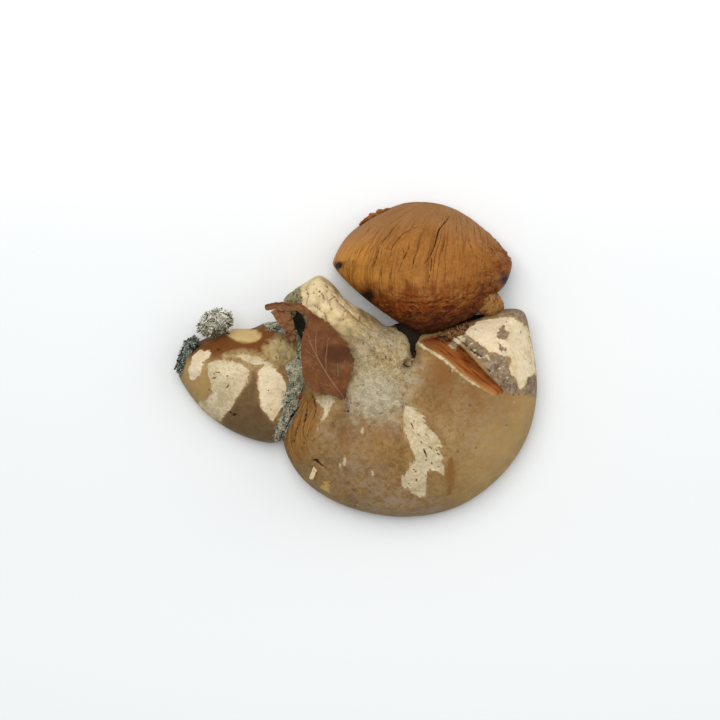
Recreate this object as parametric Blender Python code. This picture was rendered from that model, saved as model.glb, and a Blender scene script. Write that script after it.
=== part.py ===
"""A dried cluster of oyster mushroom: three caps on one shared base, with a dead leaf and moss caught on it.

Units are metres, +Z is up. The cluster lies gills down. The origin is under the middle of its outline,
on the surface that it rests on. +Y runs from the large cap towards the shrivelled cap.
"""

import math

import bmesh
import bpy
import numpy as np
from mathutils import Matrix, Vector
from mathutils.bvhtree import BVHTree

# Outlines seen from above, anticlockwise from the right. Each is a smooth closed curve through its points.
LARGE_CAP_EDGE = [
    (0.0772, -0.0123), (0.0763, -0.0002), (0.0742, 0.0105), (0.0716, 0.0200), (0.0647, 0.0217),
    (0.0578, 0.0198), (0.0500, 0.0190), (0.0420, 0.0190), (0.0330, 0.0190), (0.0250, 0.0178),
    (0.0182, 0.0156), (0.0123, 0.0143), (0.0065, 0.0187), (-0.0054, 0.0260), (-0.0098, 0.0316),
    (-0.0158, 0.0358), (-0.0214, 0.0333), (-0.0269, 0.0295), (-0.0312, 0.0252), (-0.0303, 0.0178),
    (-0.0268, 0.0084), (-0.0252, -0.0110), (-0.0286, -0.0209), (-0.0316, -0.0303), (-0.0307, -0.0389),
    (-0.0264, -0.0475), (-0.0196, -0.0548), (-0.0092, -0.0613), (0.0032, -0.0656), (0.0174, -0.0677),
    (0.0320, -0.0667), (0.0449, -0.0626), (0.0561, -0.0553), (0.0656, -0.0458), (0.0725, -0.0346),
    (0.0759, -0.0239),
]
# Inside that outline, where the cap's own shoulder ends, and how far the base runs under it.
CAP_SHOULDER = LARGE_CAP_EDGE[:12] + [
    (0.0040, 0.0120), (-0.0060, 0.0090), (-0.0160, 0.0040), (-0.0225, -0.0030),
] + LARGE_CAP_EDGE[21:]
BASE_LOBE = LARGE_CAP_EDGE[11:22] + [
    (-0.0200, -0.0210), (-0.0080, -0.0260), (0.0080, -0.0200), (0.0190, -0.0060), (0.0210, 0.0080),
]
SMALL_CAP_EDGE = [
    (-0.0180, -0.0054), (-0.0221, 0.0048), (-0.0262, 0.0118), (-0.0322, 0.0158), (-0.0392, 0.0156),
    (-0.0455, 0.0132), (-0.0545, 0.0128),
    (-0.0664, 0.0084), (-0.0737, 0.0030), (-0.0768, -0.0050), (-0.0746, -0.0110), (-0.0660, -0.0221),
    (-0.0522, -0.0316), (-0.0368, -0.0359), (-0.0290, -0.0310), (-0.0215, -0.0180),
]
DRIED_CAP_EDGE = [
    (0.0664, 0.0402), (0.0647, 0.0441), (0.0565, 0.0544), (0.0419, 0.0647), (0.0269, 0.0677),
    (0.0123, 0.0643), (-0.0028, 0.0544), (-0.0099, 0.0432), (-0.0090, 0.0385), (-0.0028, 0.0316),
    (0.0067, 0.0234), (0.0170, 0.0161), (0.0277, 0.0100), (0.0406, 0.0131), (0.0518, 0.0200),
    (0.0575, 0.0262), (0.0634, 0.0320),
]

# Each cap: where its skin is centred, and where its gills run together at the stem.
LARGE_CAP_TOP, LARGE_CAP_STEM = (0.0190, -0.0190), (0.0062, -0.0062)
SMALL_CAP_TOP, SMALL_CAP_STEM = (-0.0480, -0.0110), (-0.0300, -0.0080)
DRIED_CAP_TOP, DRIED_CAP_STEM = (0.0381, 0.0610), (0.0330, 0.0240)

# Heights. A rim rises by its tilt towards +Y, and the small cap's also towards +X.
LARGE_CAP_RIM, LARGE_CAP_TILT = 0.0085, 0.075
LARGE_CAP_CROWN, LARGE_CAP_VAULT = 0.0265, 0.0150
BASE_CROWN, BASE_BELLY = 0.0205, 0.0050
BLEND = 0.0060
SMALL_CAP_RIM, SMALL_CAP_TILT = 0.0100, (0.09, 0.05)
SMALL_CAP_CROWN, SMALL_CAP_VAULT = 0.0185, 0.0100
DRIED_CAP_CROWN, DRIED_CAP_WALL = 0.0310, 0.0100
DRIED_CAP_NEAR_RIM, DRIED_CAP_FAR_RIM = 0.0231, 0.0040
DRIED_CAP_TILT = -0.36
STEM_SIDE = 0.0040
# How far inside its edge each crown reaches its full height.
LARGE_CAP_REACH, BASE_REACH, SMALL_CAP_REACH, DRIED_CAP_REACH = 0.036, 0.012, 0.022, 0.027
FLOOR = 0.0
SLIVER = 0.000004

# Mesh counts. Two steps round the edge make one gill or one wrinkle.
LARGE_CAP_STEPS, LARGE_CAP_TOP_RINGS, LARGE_CAP_UNDER_RINGS = 116, 9, 8
SMALL_CAP_STEPS, SMALL_CAP_TOP_RINGS, SMALL_CAP_UNDER_RINGS = 60, 7, 6
DRIED_CAP_STEPS, DRIED_CAP_TOP_RINGS, DRIED_CAP_UNDER_RINGS = 84, 12, 7
SAMPLES_PER_SPAN = 12

# Relief
GILL_DEPTH = 0.0016
WRINKLE_HEIGHT = 0.0006
RIDGE_HEIGHT = 0.0004
LIP_DEPTH = 0.0062
LIP_WIDTH = 0.16
VAULT_POWER = 0.7
RING_CROWDING = (0.9, 0.8)
SMALL_CAP_SCALE, DRIED_CAP_SCALE = 0.8, 0.7
GILL_START, GILL_FULL = 0.25, 0.50
GILL_END, GILL_FADE = 0.80, 0.90

# The split in the large cap: its lip, its far wall, how deep it goes and how wide it opens.
SPLIT_LIP = [(0.0256, 0.0070), (0.0355, 0.0005), (0.0432, -0.0058), (0.0492, -0.0101), (0.0570, -0.0148)]
SPLIT_WALL = [(0.0375, 0.0105), (0.0449, 0.0045), (0.0494, -0.0005), (0.0552, -0.0067), (0.0620, -0.0135)]
SPLIT_DEPTH = 0.0075
SPLIT_OPENING = 0.020
SPLIT_STEPS = 14
# The crease between the base and the large cap.
CREASE = [(0.0247, 0.0127), (0.0239, 0.0062), (0.0235, 0.0000), (0.0205, -0.0030)]
CREASE_DEPTH = 0.0060
CREASE_WIDTH = 0.0022
# The ridge along the base, from its tip into the large cap, and the lumps over it.
BASE_RIDGE = [(-0.0150, 0.0300), (-0.0060, 0.0210), (0.0060, 0.0110), (0.0130, 0.0010)]
BASE_RIDGE_HEIGHT = 0.0042
BASE_RIDGE_WIDTH = 0.0070
BASE_LUMP_HEIGHT = 0.0007
BASE_LUMP_PITCH = 0.0085

# Stems inside the cluster, from the shared base to each cap, and the torn lobe that the shrivelled cap
# rests on: points with the radius there.
DRIED_CAP_STEM_RUN = [
    ((0.0120, -0.0040, 0.0130), 0.0085),
    ((0.0230, 0.0080, 0.0150), 0.0085),
    ((0.0330, 0.0200, 0.0190), 0.0088),
    ((0.0370, 0.0300, 0.0250), 0.0110),
    ((0.0360, 0.0400, 0.0310), 0.0130),
]
SMALL_CAP_STEM_RUN = [
    ((-0.0060, 0.0030, 0.0140), 0.0090),
    ((-0.0190, -0.0040, 0.0130), 0.0088),
    ((-0.0330, -0.0090, 0.0135), 0.0085),
]
TORN_LOBE_RUN = [
    ((0.0430, 0.0310, 0.0240), 0.0062),
    ((0.0520, 0.0262, 0.0180), 0.0062),
    ((0.0592, 0.0228, 0.0130), 0.0044),
]
STEM_SIDES, STEM_RINGS = 14, 9

# The dead leaf, from its stalk to its curled tip: edge, midrib and other edge, and the height aimed at.
LEAF_EAST = [
    (-0.0047, -0.0157), (-0.0041, -0.0101), (-0.0024, -0.0058), (-0.0015, -0.0006), (-0.0037, 0.0049),
    (-0.0080, 0.0110), (-0.0127, 0.0157), (-0.0178, 0.0187), (-0.0217, 0.0221), (-0.0269, 0.0239),
    (-0.0329, 0.0239), (-0.0389, 0.0232),
]
LEAF_MIDRIB = [
    (-0.0054, -0.0161), (-0.0080, -0.0127), (-0.0114, -0.0080), (-0.0144, -0.0032), (-0.0170, 0.0015),
    (-0.0196, 0.0071), (-0.0209, 0.0118), (-0.0209, 0.0161), (-0.0226, 0.0196), (-0.0273, 0.0217),
    (-0.0329, 0.0224), (-0.0389, 0.0221),
]
LEAF_WEST = [
    (-0.0060, -0.0166), (-0.0118, -0.0148), (-0.0178, -0.0135), (-0.0217, -0.0097), (-0.0230, -0.0037),
    (-0.0234, 0.0032), (-0.0230, 0.0092), (-0.0226, 0.0144), (-0.0243, 0.0178), (-0.0286, 0.0187),
    (-0.0338, 0.0191), (-0.0389, 0.0209),
]
LEAF_HEIGHTS = [
    0.0330, 0.0335, 0.0340, 0.0345, 0.0345, 0.0340, 0.0335, 0.0325, 0.0310, 0.0295, 0.0280, 0.0265,
]
# The torn flap that hangs from the curl.
FLAP_LEFT = [(-0.0364, 0.0200), (-0.0331, 0.0153), (-0.0308, 0.0124), (-0.0299, 0.0086), (-0.0292, 0.0076)]
FLAP_MIDDLE = [(-0.0330, 0.0215), (-0.0305, 0.0170), (-0.0288, 0.0135), (-0.0280, 0.0095), (-0.0279, 0.0075)]
FLAP_RIGHT = [(-0.0300, 0.0222), (-0.0278, 0.0180), (-0.0266, 0.0150), (-0.0264, 0.0105), (-0.0267, 0.0080)]
FLAP_HEIGHTS = [0.0285, 0.0275, 0.0260, 0.0240, 0.0225]
LEAF_THICKNESS = 0.0008
LEAF_CLEARANCE = 0.0012
LEAF_STEPS_ALONG, LEAF_STEPS_ACROSS = 24, 10
FLAP_STEPS_ALONG, FLAP_STEPS_ACROSS = 8, 4
LEAF_KEEL = 0.0012
LEAF_WAVE = 0.0005

# Moss: the line along which each cushion grows, with its height there, the radius of its body,
# and how many body balls and how many lumps it has.
MOSS_TUFT_LINE = [(-0.0645, 0.0140, 0.0148), (-0.0608, 0.0163, 0.0165), (-0.0572, 0.0154, 0.0160)]
MOSS_CRUST_LINE = [(-0.0694, 0.0078, 0.0110), (-0.0728, 0.0044, 0.0098), (-0.0740, -0.0045, 0.0090)]
MOSS_TUFT_RADIUS, MOSS_CRUST_RADIUS = 0.0040, 0.0024
MOSS_TUFT_COUNTS, MOSS_CRUST_COUNTS = (4, 30), (6, 24)
MOSS_LUMP_RADII = (0.0009, 0.0017)
MOSS_GAP = 0.0003


def smooth_loop(points, closed=True):
    """Points along a smooth curve through the given ones, as an array with a row for each point."""
    p = np.array(points, float)
    count = len(p)
    rows = []
    for i in range(count if closed else count - 1):
        before, start = p[i - 1] if closed or i else p[i], p[i]
        end = p[(i + 1) % count]
        after = p[(i + 2) % count] if closed or i + 2 < count else end
        for t in np.arange(SAMPLES_PER_SPAN) / SAMPLES_PER_SPAN:
            rows.append(
                0.5 * (2 * start + (end - before) * t
                       + (2 * before - 5 * start + 4 * end - after) * t**2
                       + (3 * start - before - 3 * end + after) * t**3)
            )
    if not closed:
        rows.append(p[-1])
    return np.array(rows)


def even_points(curve, count, closed=True):
    """Points the same distance apart along a curve, starting at its first."""
    line = np.vstack([curve, curve[:1]]) if closed else curve
    run = np.concatenate([[0], np.cumsum(np.linalg.norm(np.diff(line, axis=0), axis=1))])
    at = np.linspace(0, run[-1], count, endpoint=not closed)
    return np.column_stack([np.interp(at, run, line[:, k]) for k in range(line.shape[1])])


def distance_to(path, xy):
    """For each place, how far it is from a path, and how far along the path its nearest point lies, 0 to 1."""
    line = np.array(path, float)
    steps = np.diff(line, axis=0)
    lengths = np.linalg.norm(steps, axis=1)
    runs = np.concatenate([[0], np.cumsum(lengths)])
    best = np.full(len(xy), np.inf)
    share = np.zeros(len(xy))
    for start, step, length, run in zip(line[:-1], steps, lengths, runs):
        t = np.clip((xy - start) @ step / length**2, 0, 1)
        gap = np.linalg.norm(xy - start - t[:, None] * step, axis=1)
        share = np.where(gap < best, (run + t * length) / runs[-1], share)
        best = np.minimum(best, gap)
    return best, share


def smooth_step(low, high, x):
    t = np.clip((x - low) / (high - low), 0, 1)
    return t * t * (3 - 2 * t)


def inside(loop, xy):
    """True for places within a closed outline."""
    line = np.vstack([loop, loop[:1]])
    crossings = np.zeros(len(xy), int)
    for (x0, y0), (x1, y1) in zip(line[:-1], line[1:]):
        spans = (y0 > xy[:, 1]) != (y1 > xy[:, 1])
        across = x0 + (xy[:, 1] - y0) / (y1 - y0 if y1 != y0 else 1) * (x1 - x0)
        crossings += spans & (xy[:, 0] < across)
    return crossings % 2 == 1


def swell(edge, xy, reach, power=0.55):
    """Height of a plump crown: 0 at the edge and outside it, 1 from the given distance inside it."""
    loop = smooth_loop(edge)
    gap, _ = distance_to(np.vstack([loop, loop[:1]]), xy)
    rise = 1 - (1 - np.clip(gap / reach, 0, 1)) ** 2.2
    return np.where(inside(loop, xy), rise**power, 0.0)


def blend_of(a, b, width):
    """The larger of two heights, rounded where they meet."""
    share = np.clip(0.5 + 0.5 * (a - b) / width, 0, 1)
    return b + (a - b) * share + width * share * (1 - share)


def lip(u):
    """Depth of the rolled edge under a cap: 0 at the edge, 1, and 0 again where the gills begin."""
    t = np.clip((1 - u) / LIP_WIDTH, 0, 1)
    return np.sqrt(np.maximum(0, 1 - (2 * t - 1) ** 2))


def vault(u):
    """Height of the hollow under a cap: 0 at the stem and at the rolled edge, 1 between them."""
    return np.sin(np.clip(u / (1 - LIP_WIDTH), 0, 1) * math.pi) ** VAULT_POWER


def stem_side(u):
    """How far the gill side rises to the stem."""
    return STEM_SIDE * smooth_step(0.35, 0.0, u)


def material(name, colour, roughness):
    made = bpy.data.materials.new(name)
    made.use_nodes = True
    shader = made.node_tree.nodes["Principled BSDF"]
    shader.inputs["Base Color"].default_value = (*colour, 1.0)
    shader.inputs["Roughness"].default_value = roughness
    shader.inputs["Metallic"].default_value = 0.0
    made.diffuse_color = (*colour, 1.0)
    return made


def object_of(name, mesh, finish=None):
    made = bpy.data.objects.new(name, mesh)
    bpy.context.scene.collection.objects.link(made)
    if finish:
        mesh.materials.append(finish)
    return made


def cap_body(name, edge, top_hub, gill_hub, steps, top_rings, under_rings, shape):
    """One cap as a closed body: a globe whose upper rings are its skin and lower rings its gill side.

    shape(xy, u, upper, parity, ring) gives each vertex's height. u runs from 0 at a hub to 1 at the edge, and
    parity is 1 and -1 by turns round the edge.
    """
    bm = bmesh.new()
    bmesh.ops.create_uvsphere(bm, u_segments=steps, v_segments=top_rings + under_rings, radius=1.0)
    place = np.array([v.co for v in bm.verts])
    ring = np.rint(np.arccos(np.clip(place[:, 2], -1, 1)) / math.pi * (top_rings + under_rings)).astype(int)
    step = np.rint(np.arctan2(place[:, 1], place[:, 0]) / (2 * math.pi) * steps).astype(int) % steps
    upper = ring <= top_rings
    t = np.where(upper, ring / top_rings, (top_rings + under_rings - ring) / under_rings)
    u = np.sin(t * math.pi / 2) ** np.where(upper, *RING_CROWDING)
    rim = even_points(smooth_loop(edge), steps)[step]
    hub = np.where(upper[:, None], np.array(top_hub), np.array(gill_hub))
    xy = hub + (rim - hub) * u[:, None]
    parity = np.where(step % 2 == 0, 1.0, -1.0)
    z = np.maximum(shape(xy, u, upper, parity, ring), FLOOR)
    for vertex, (x, y), height in zip(bm.verts, xy, z):
        vertex.co = (x, y, height)
    mesh = bpy.data.meshes.new(name)
    bm.to_mesh(mesh)
    bm.free()
    mesh.shade_smooth()
    return mesh


def gill_relief(u, parity, depth):
    """Gills standing out and in by turns between the stem and the rolled edge."""
    return depth * parity * smooth_step(GILL_START, GILL_FULL, u) * smooth_step(GILL_FADE, GILL_END, u)


def large_cap_rim(xy):
    return LARGE_CAP_RIM + LARGE_CAP_TILT * xy[:, 1]


def large_cap_skin(xy):
    """Height of the large cap and the shared base seen from above, without the split."""
    x, y = xy[:, 0], xy[:, 1]
    cap = LARGE_CAP_CROWN * swell(CAP_SHOULDER, xy, LARGE_CAP_REACH)
    base = swell(BASE_LOBE, xy, BASE_REACH)
    gap, share = distance_to(BASE_RIDGE, xy)
    ridge = BASE_RIDGE_HEIGHT * np.exp(-((gap / BASE_RIDGE_WIDTH) ** 2)) * (1 - 0.4 * share)
    pitch = math.tau / BASE_LUMP_PITCH
    lumps = BASE_LUMP_HEIGHT * np.sin(pitch * x) * np.sin(pitch * y)
    base = (BASE_CROWN + ridge + lumps) * base
    crown = blend_of(cap, base, np.clip(np.maximum(cap, base), 1e-6, BLEND))
    gap, _ = distance_to(CREASE, xy)
    return large_cap_rim(xy) + np.maximum(crown - CREASE_DEPTH * np.exp(-((gap / CREASE_WIDTH) ** 2)), 0)


def large_cap_shape(xy, u, upper, parity, ring):
    """The large cap and the shared base, which are one body: gills under the cap, solid under the base."""
    rim = large_cap_rim(xy)
    to_base = smooth_step(-0.002, 0.010, xy[:, 1] - 0.3 * xy[:, 0]) * smooth_step(0.028, 0.016, xy[:, 0])
    roll = LIP_DEPTH + BASE_BELLY * to_base
    under = (rim - roll * to_base * smooth_step(1.0, 0.9, u)) * smooth_step(0.0, 0.9, u) + stem_side(u)
    under += (LARGE_CAP_VAULT * vault(u) - roll * lip(u) + gill_relief(u, parity, GILL_DEPTH)) * (1 - to_base)
    return np.where(upper, large_cap_skin(xy), under)


def small_cap_shape(xy, u, upper, parity, ring):
    """The small cap, lower on its outer side, with gills that meet at the shared base."""
    rim = SMALL_CAP_RIM + SMALL_CAP_TILT[0] * xy[:, 0] + SMALL_CAP_TILT[1] * xy[:, 1]
    top = rim + SMALL_CAP_CROWN * swell(SMALL_CAP_EDGE, xy, SMALL_CAP_REACH)
    under = rim * smooth_step(0.0, 0.9, u) + stem_side(u) + SMALL_CAP_VAULT * vault(u)
    under += gill_relief(u, parity, GILL_DEPTH * SMALL_CAP_SCALE) - LIP_DEPTH * lip(u)
    return np.where(upper, top, under)


def dried_cap_shape(xy, u, upper, parity, ring):
    """The shrivelled cap: a tilted shell, wrinkled from its middle to its rim, crimped along the near rim."""
    rim = np.maximum(DRIED_CAP_NEAR_RIM + DRIED_CAP_TILT * xy[:, 1], DRIED_CAP_FAR_RIM)
    full = swell(DRIED_CAP_EDGE, xy, DRIED_CAP_REACH)
    wrinkle = WRINKLE_HEIGHT * parity * smooth_step(0.2, 0.5, u) * smooth_step(1.0, 0.85, u)
    crimp = RIDGE_HEIGHT * np.where(ring % 2 == 0, 1, -1) * smooth_step(0.030, 0.020, xy[:, 1]) * (1 - u**10)
    top = rim + DRIED_CAP_CROWN * full + wrinkle + crimp
    hollow = (DRIED_CAP_CROWN - DRIED_CAP_WALL) * np.clip((full - 0.45) / 0.55, 0, 1) ** 0.8
    under = rim + hollow - LIP_DEPTH * DRIED_CAP_SCALE * lip(u)
    under += gill_relief(u, parity, GILL_DEPTH * SMALL_CAP_SCALE)
    return np.where(upper, top, under)


def split_cutter():
    """The wedge that opens the split: nothing deep at its lip, deepest at the foot of its far wall."""
    lip_side = even_points(smooth_loop(SPLIT_LIP, closed=False), SPLIT_STEPS + 1, closed=False)
    wall_side = even_points(smooth_loop(SPLIT_WALL, closed=False), SPLIT_STEPS + 1, closed=False)
    bm = bmesh.new()
    bmesh.ops.create_grid(bm, x_segments=SPLIT_STEPS, y_segments=3, size=1.0)
    for vertex in bm.verts:
        i = int(round((vertex.co.x + 1) / 2 * SPLIT_STEPS))
        across = (vertex.co.y + 1) / 2
        xy = lip_side[i] * (1 - across) + wall_side[i] * across
        deep = SPLIT_DEPTH * across**0.8 * math.sin(math.pi * (i + 1) / (SPLIT_STEPS + 2)) ** 0.6
        vertex.co = (xy[0], xy[1], large_cap_skin(np.array([xy]))[0] - deep)
    raised = bmesh.ops.extrude_face_region(bm, geom=list(bm.faces))
    for vertex in (v for v in raised["geom"] if isinstance(v, bmesh.types.BMVert)):
        vertex.co.z += SPLIT_OPENING
    bmesh.ops.recalc_face_normals(bm, faces=bm.faces)
    mesh = bpy.data.meshes.new("split")
    bm.to_mesh(mesh)
    bm.free()
    return mesh


def stem_body(name, run):
    """A stem swept through points of its own radius, closed at both ends."""
    points = smooth_loop([(*p, r) for p, r in run], closed=False)
    points = even_points(points, STEM_RINGS, closed=False)
    bm = bmesh.new()
    ring_before = None
    for i, (x, y, z, r) in enumerate(points):
        along = Vector(points[min(i + 1, len(points) - 1)][:3]) - Vector(points[max(i - 1, 0)][:3])
        turn = along.to_track_quat("Z", "Y").to_matrix().to_4x4()
        made = bmesh.ops.create_circle(bm, segments=STEM_SIDES, radius=r, cap_ends=i in (0, len(points) - 1),
                                       matrix=Matrix.Translation((x, y, z)) @ turn)
        ring = made["verts"]
        if ring_before:
            for a, b, c, d in zip(ring_before, ring_before[1:] + ring_before[:1],
                                  ring[1:] + ring[:1], ring):
                bm.faces.new((a, b, c, d))
        ring_before = ring
    bmesh.ops.recalc_face_normals(bm, faces=bm.faces)
    mesh = bpy.data.meshes.new(name)
    bm.to_mesh(mesh)
    bm.free()
    mesh.shade_smooth()
    return mesh


def helper(name, mesh):
    """An object that only shapes another: it isn't part of the cluster itself."""
    made = object_of(name, mesh)
    made.hide_render = True
    made.display_type = "WIRE"
    return made


def joined(target, others, operation="UNION"):
    for other in others:
        modifier = target.modifiers.new(f"{operation.lower()}_{other.name}", "BOOLEAN")
        modifier.operation = operation
        modifier.solver = "EXACT"
        modifier.object = other


def surface_of(obj):
    """The finished surface of an object, to set others on."""
    graph = bpy.context.evaluated_depsgraph_get()
    return BVHTree.FromObject(obj, graph)


def height_at(surface, x, y, around=0.0):
    """The highest point of a surface over a place and the ring about it, or the floor."""
    highest = FLOOR
    offsets = [(0.0, 0.0)]
    if around:
        offsets += [(around * math.cos(a), around * math.sin(a)) for a in np.arange(8) * math.pi / 4]
    for dx, dy in offsets:
        hit, _, _, _ = surface.ray_cast(Vector((x + dx, y + dy, 0.2)), Vector((0, 0, -1)))
        if hit:
            highest = max(highest, hit.z)
    return highest


def make_fungus():
    """The whole fungus is one grown piece: base, large cap, small cap and shrivelled cap."""
    flesh = material("fungus_flesh", (0.30, 0.17, 0.075), 0.75)
    fungus = object_of("fungus", cap_body(
        "fungus", LARGE_CAP_EDGE, LARGE_CAP_TOP, LARGE_CAP_STEM,
        LARGE_CAP_STEPS, LARGE_CAP_TOP_RINGS, LARGE_CAP_UNDER_RINGS, large_cap_shape), flesh)
    small = helper("small_cap_helper", cap_body(
        "small_cap", SMALL_CAP_EDGE, SMALL_CAP_TOP, SMALL_CAP_STEM,
        SMALL_CAP_STEPS, SMALL_CAP_TOP_RINGS, SMALL_CAP_UNDER_RINGS, small_cap_shape))
    dried = helper("dried_cap_helper", cap_body(
        "dried_cap", DRIED_CAP_EDGE, DRIED_CAP_TOP, DRIED_CAP_STEM,
        DRIED_CAP_STEPS, DRIED_CAP_TOP_RINGS, DRIED_CAP_UNDER_RINGS, dried_cap_shape))
    stems = [
        helper("dried_stem_helper", stem_body("dried_stem", DRIED_CAP_STEM_RUN)),
        helper("small_stem_helper", stem_body("small_stem", SMALL_CAP_STEM_RUN)),
        helper("torn_lobe_helper", stem_body("torn_lobe", TORN_LOBE_RUN)),
    ]
    joined(fungus, [helper("split_helper", split_cutter())], "DIFFERENCE")
    joined(fungus, [small, dried, *stems])
    apply_modifiers(fungus)
    keep_largest(fungus)
    return fungus


def blade_sheet(name, west, middle, east, heights, steps, surface):
    """A leaf blade lofted between its two edges over its midrib, lying clear of the surface below."""
    along, across = steps
    rows = [even_points(smooth_loop(np.column_stack([line, heights]), closed=False), along + 1, closed=False)
            for line in (west, middle, east)]
    bm = bmesh.new()
    bmesh.ops.create_grid(bm, x_segments=along, y_segments=across, size=1.0)
    for vertex in bm.verts:
        i, side = int(round((vertex.co.x + 1) / 2 * along)), vertex.co.y
        edge = rows[0] if side < 0 else rows[2]
        place = Vector(rows[1][i]) * (1 - abs(side)) + Vector(edge[i]) * abs(side)
        place.z += LEAF_KEEL * abs(side) ** 1.5 + LEAF_WAVE * math.sin(i * 1.7) * abs(side)
        lowest = height_at(surface, place.x, place.y, 0.0015) + LEAF_CLEARANCE
        place.z = max(place.z, lowest)
        vertex.co = place
    bmesh.ops.triangulate(bm, faces=bm.faces)
    bmesh.ops.recalc_face_normals(bm, faces=bm.faces)
    mesh = bpy.data.meshes.new(name)
    bm.to_mesh(mesh)
    bm.free()
    mesh.shade_smooth()
    return mesh


def thicken(obj):
    wall = obj.modifiers.new("blade", "SOLIDIFY")
    wall.thickness = LEAF_THICKNESS
    wall.offset = 0.0


def make_leaf(surface):
    """The dead leaf: a thin blade draped over the base, its tip curled over and a torn flap under the curl."""
    leaf_brown = material("leaf_brown", (0.19, 0.075, 0.030), 0.8)
    leaf = object_of("leaf", blade_sheet("leaf", LEAF_WEST, LEAF_MIDRIB, LEAF_EAST, LEAF_HEIGHTS,
                                         (LEAF_STEPS_ALONG, LEAF_STEPS_ACROSS), surface), leaf_brown)
    thicken(leaf)
    flap = helper("flap_helper", blade_sheet("flap", FLAP_LEFT, FLAP_MIDDLE, FLAP_RIGHT, FLAP_HEIGHTS,
                                             (FLAP_STEPS_ALONG, FLAP_STEPS_ACROSS), surface))
    thicken(flap)
    joined(leaf, [flap])
    return leaf


def ball(name, place, radius):
    bm = bmesh.new()
    bmesh.ops.create_icosphere(bm, subdivisions=2, radius=radius, matrix=Matrix.Translation(place))
    mesh = bpy.data.meshes.new(name)
    bm.to_mesh(mesh)
    bm.free()
    return mesh


def make_moss(name, line, radius, counts, seed, finish, fungus):
    """A cushion of moss: lumps crowded on a rounded body and fused, seated just clear of the fungus."""
    rng = np.random.default_rng(seed)
    line = smooth_loop(line, closed=False)
    bodies, lumps = counts
    group = bpy.data.collections.new(f"{name}_lumps")
    bpy.context.scene.collection.children.link(group)
    group.hide_render = True
    centres = even_points(line, bodies, closed=False)
    for place in centres[1:]:
        body = ball(name, place, radius * rng.uniform(0.85, 1.1))
        group.objects.link(bpy.data.objects.new(f"{name}_body", body))
    golden = math.pi * (3 - math.sqrt(5))
    for k, place in enumerate(even_points(line, lumps, closed=False)):
        up = rng.uniform(-0.6, 1.0)
        across = math.sqrt(1 - up * up)
        way = np.array((across * math.cos(k * golden), across * math.sin(k * golden), up))
        size = rng.uniform(*MOSS_LUMP_RADII)
        group.objects.link(bpy.data.objects.new(f"{name}_lump", ball(name, place + way * radius, size)))
    moss = object_of(name, ball(name, centres[0], radius), finish)
    fuse = moss.modifiers.new("lumps", "BOOLEAN")
    fuse.operand_type = "COLLECTION"
    fuse.collection = group
    fuse.operation = "UNION"
    fuse.solver = "EXACT"
    apply_modifiers(moss)
    for lump in list(group.objects):
        bpy.data.objects.remove(lump)
    bpy.data.collections.remove(group)
    seat = helper(f"{name}_seat", evaluated_copy(fungus, f"{name}_seat"))
    grown = seat.modifiers.new("grown", "DISPLACE")
    grown.strength = MOSS_GAP * 1.6
    grown.mid_level = 0.0
    joined(moss, [seat], "DIFFERENCE")
    apply_modifiers(moss)
    bpy.data.objects.remove(seat)
    keep_largest(moss)
    return moss


def evaluated_copy(obj, name):
    graph = bpy.context.evaluated_depsgraph_get()
    mesh = bpy.data.meshes.new_from_object(obj.evaluated_get(graph))
    mesh.name = name
    return mesh


def apply_modifiers(obj):
    bpy.context.view_layer.update()
    mesh = evaluated_copy(obj, obj.name)
    obj.modifiers.clear()
    obj.data = mesh


def keep_largest(obj):
    """Drops the loose scraps and sealed bubbles that cutting and joining leave."""
    bm = bmesh.new()
    bm.from_mesh(obj.data)
    bmesh.ops.triangulate(bm, faces=bm.faces)
    bmesh.ops.dissolve_degenerate(bm, edges=bm.edges, dist=SLIVER)
    bmesh.ops.remove_doubles(bm, verts=bm.verts, dist=SLIVER)
    bmesh.ops.triangulate(bm, faces=bm.faces)
    left = set(bm.faces)
    bodies = []
    while left:
        edge = [left.pop()]
        body = list(edge)
        while edge:
            face = edge.pop()
            for side in face.edges:
                if len(side.link_faces) == 2:
                    for other in side.link_faces:
                        if other in left:
                            left.remove(other)
                            edge.append(other)
                            body.append(other)
        bodies.append(body)
    largest = max(bodies, key=len)
    scraps = [face for body in bodies if body is not largest for face in body]
    bmesh.ops.delete(bm, geom=scraps, context="FACES")
    bm.to_mesh(obj.data)
    bm.free()


def main():
    for obj in list(bpy.data.objects):
        bpy.data.objects.remove(obj)
    fungus = make_fungus()
    bpy.context.view_layer.update()
    surface = surface_of(fungus)
    make_leaf(surface)
    pale = material("moss_pale", (0.42, 0.40, 0.30), 0.9)
    dark = material("moss_dark", (0.06, 0.075, 0.055), 0.9)
    make_moss("moss_tuft", MOSS_TUFT_LINE, MOSS_TUFT_RADIUS, MOSS_TUFT_COUNTS, 3, pale, fungus)
    make_moss("moss_crust", MOSS_CRUST_LINE, MOSS_CRUST_RADIUS, MOSS_CRUST_COUNTS, 8, dark, fungus)


main()
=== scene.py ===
"""The looks of the dried oyster mushroom: its skins, gills, leaf, moss and mould, and the studio round it.

It is laid out as an add-on and run as a script. Units are metres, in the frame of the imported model.
"""

import math

import bmesh
import bpy
import numpy as np
from mathutils import Matrix, Vector, noise
from mathutils.bvhtree import BVHTree


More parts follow.
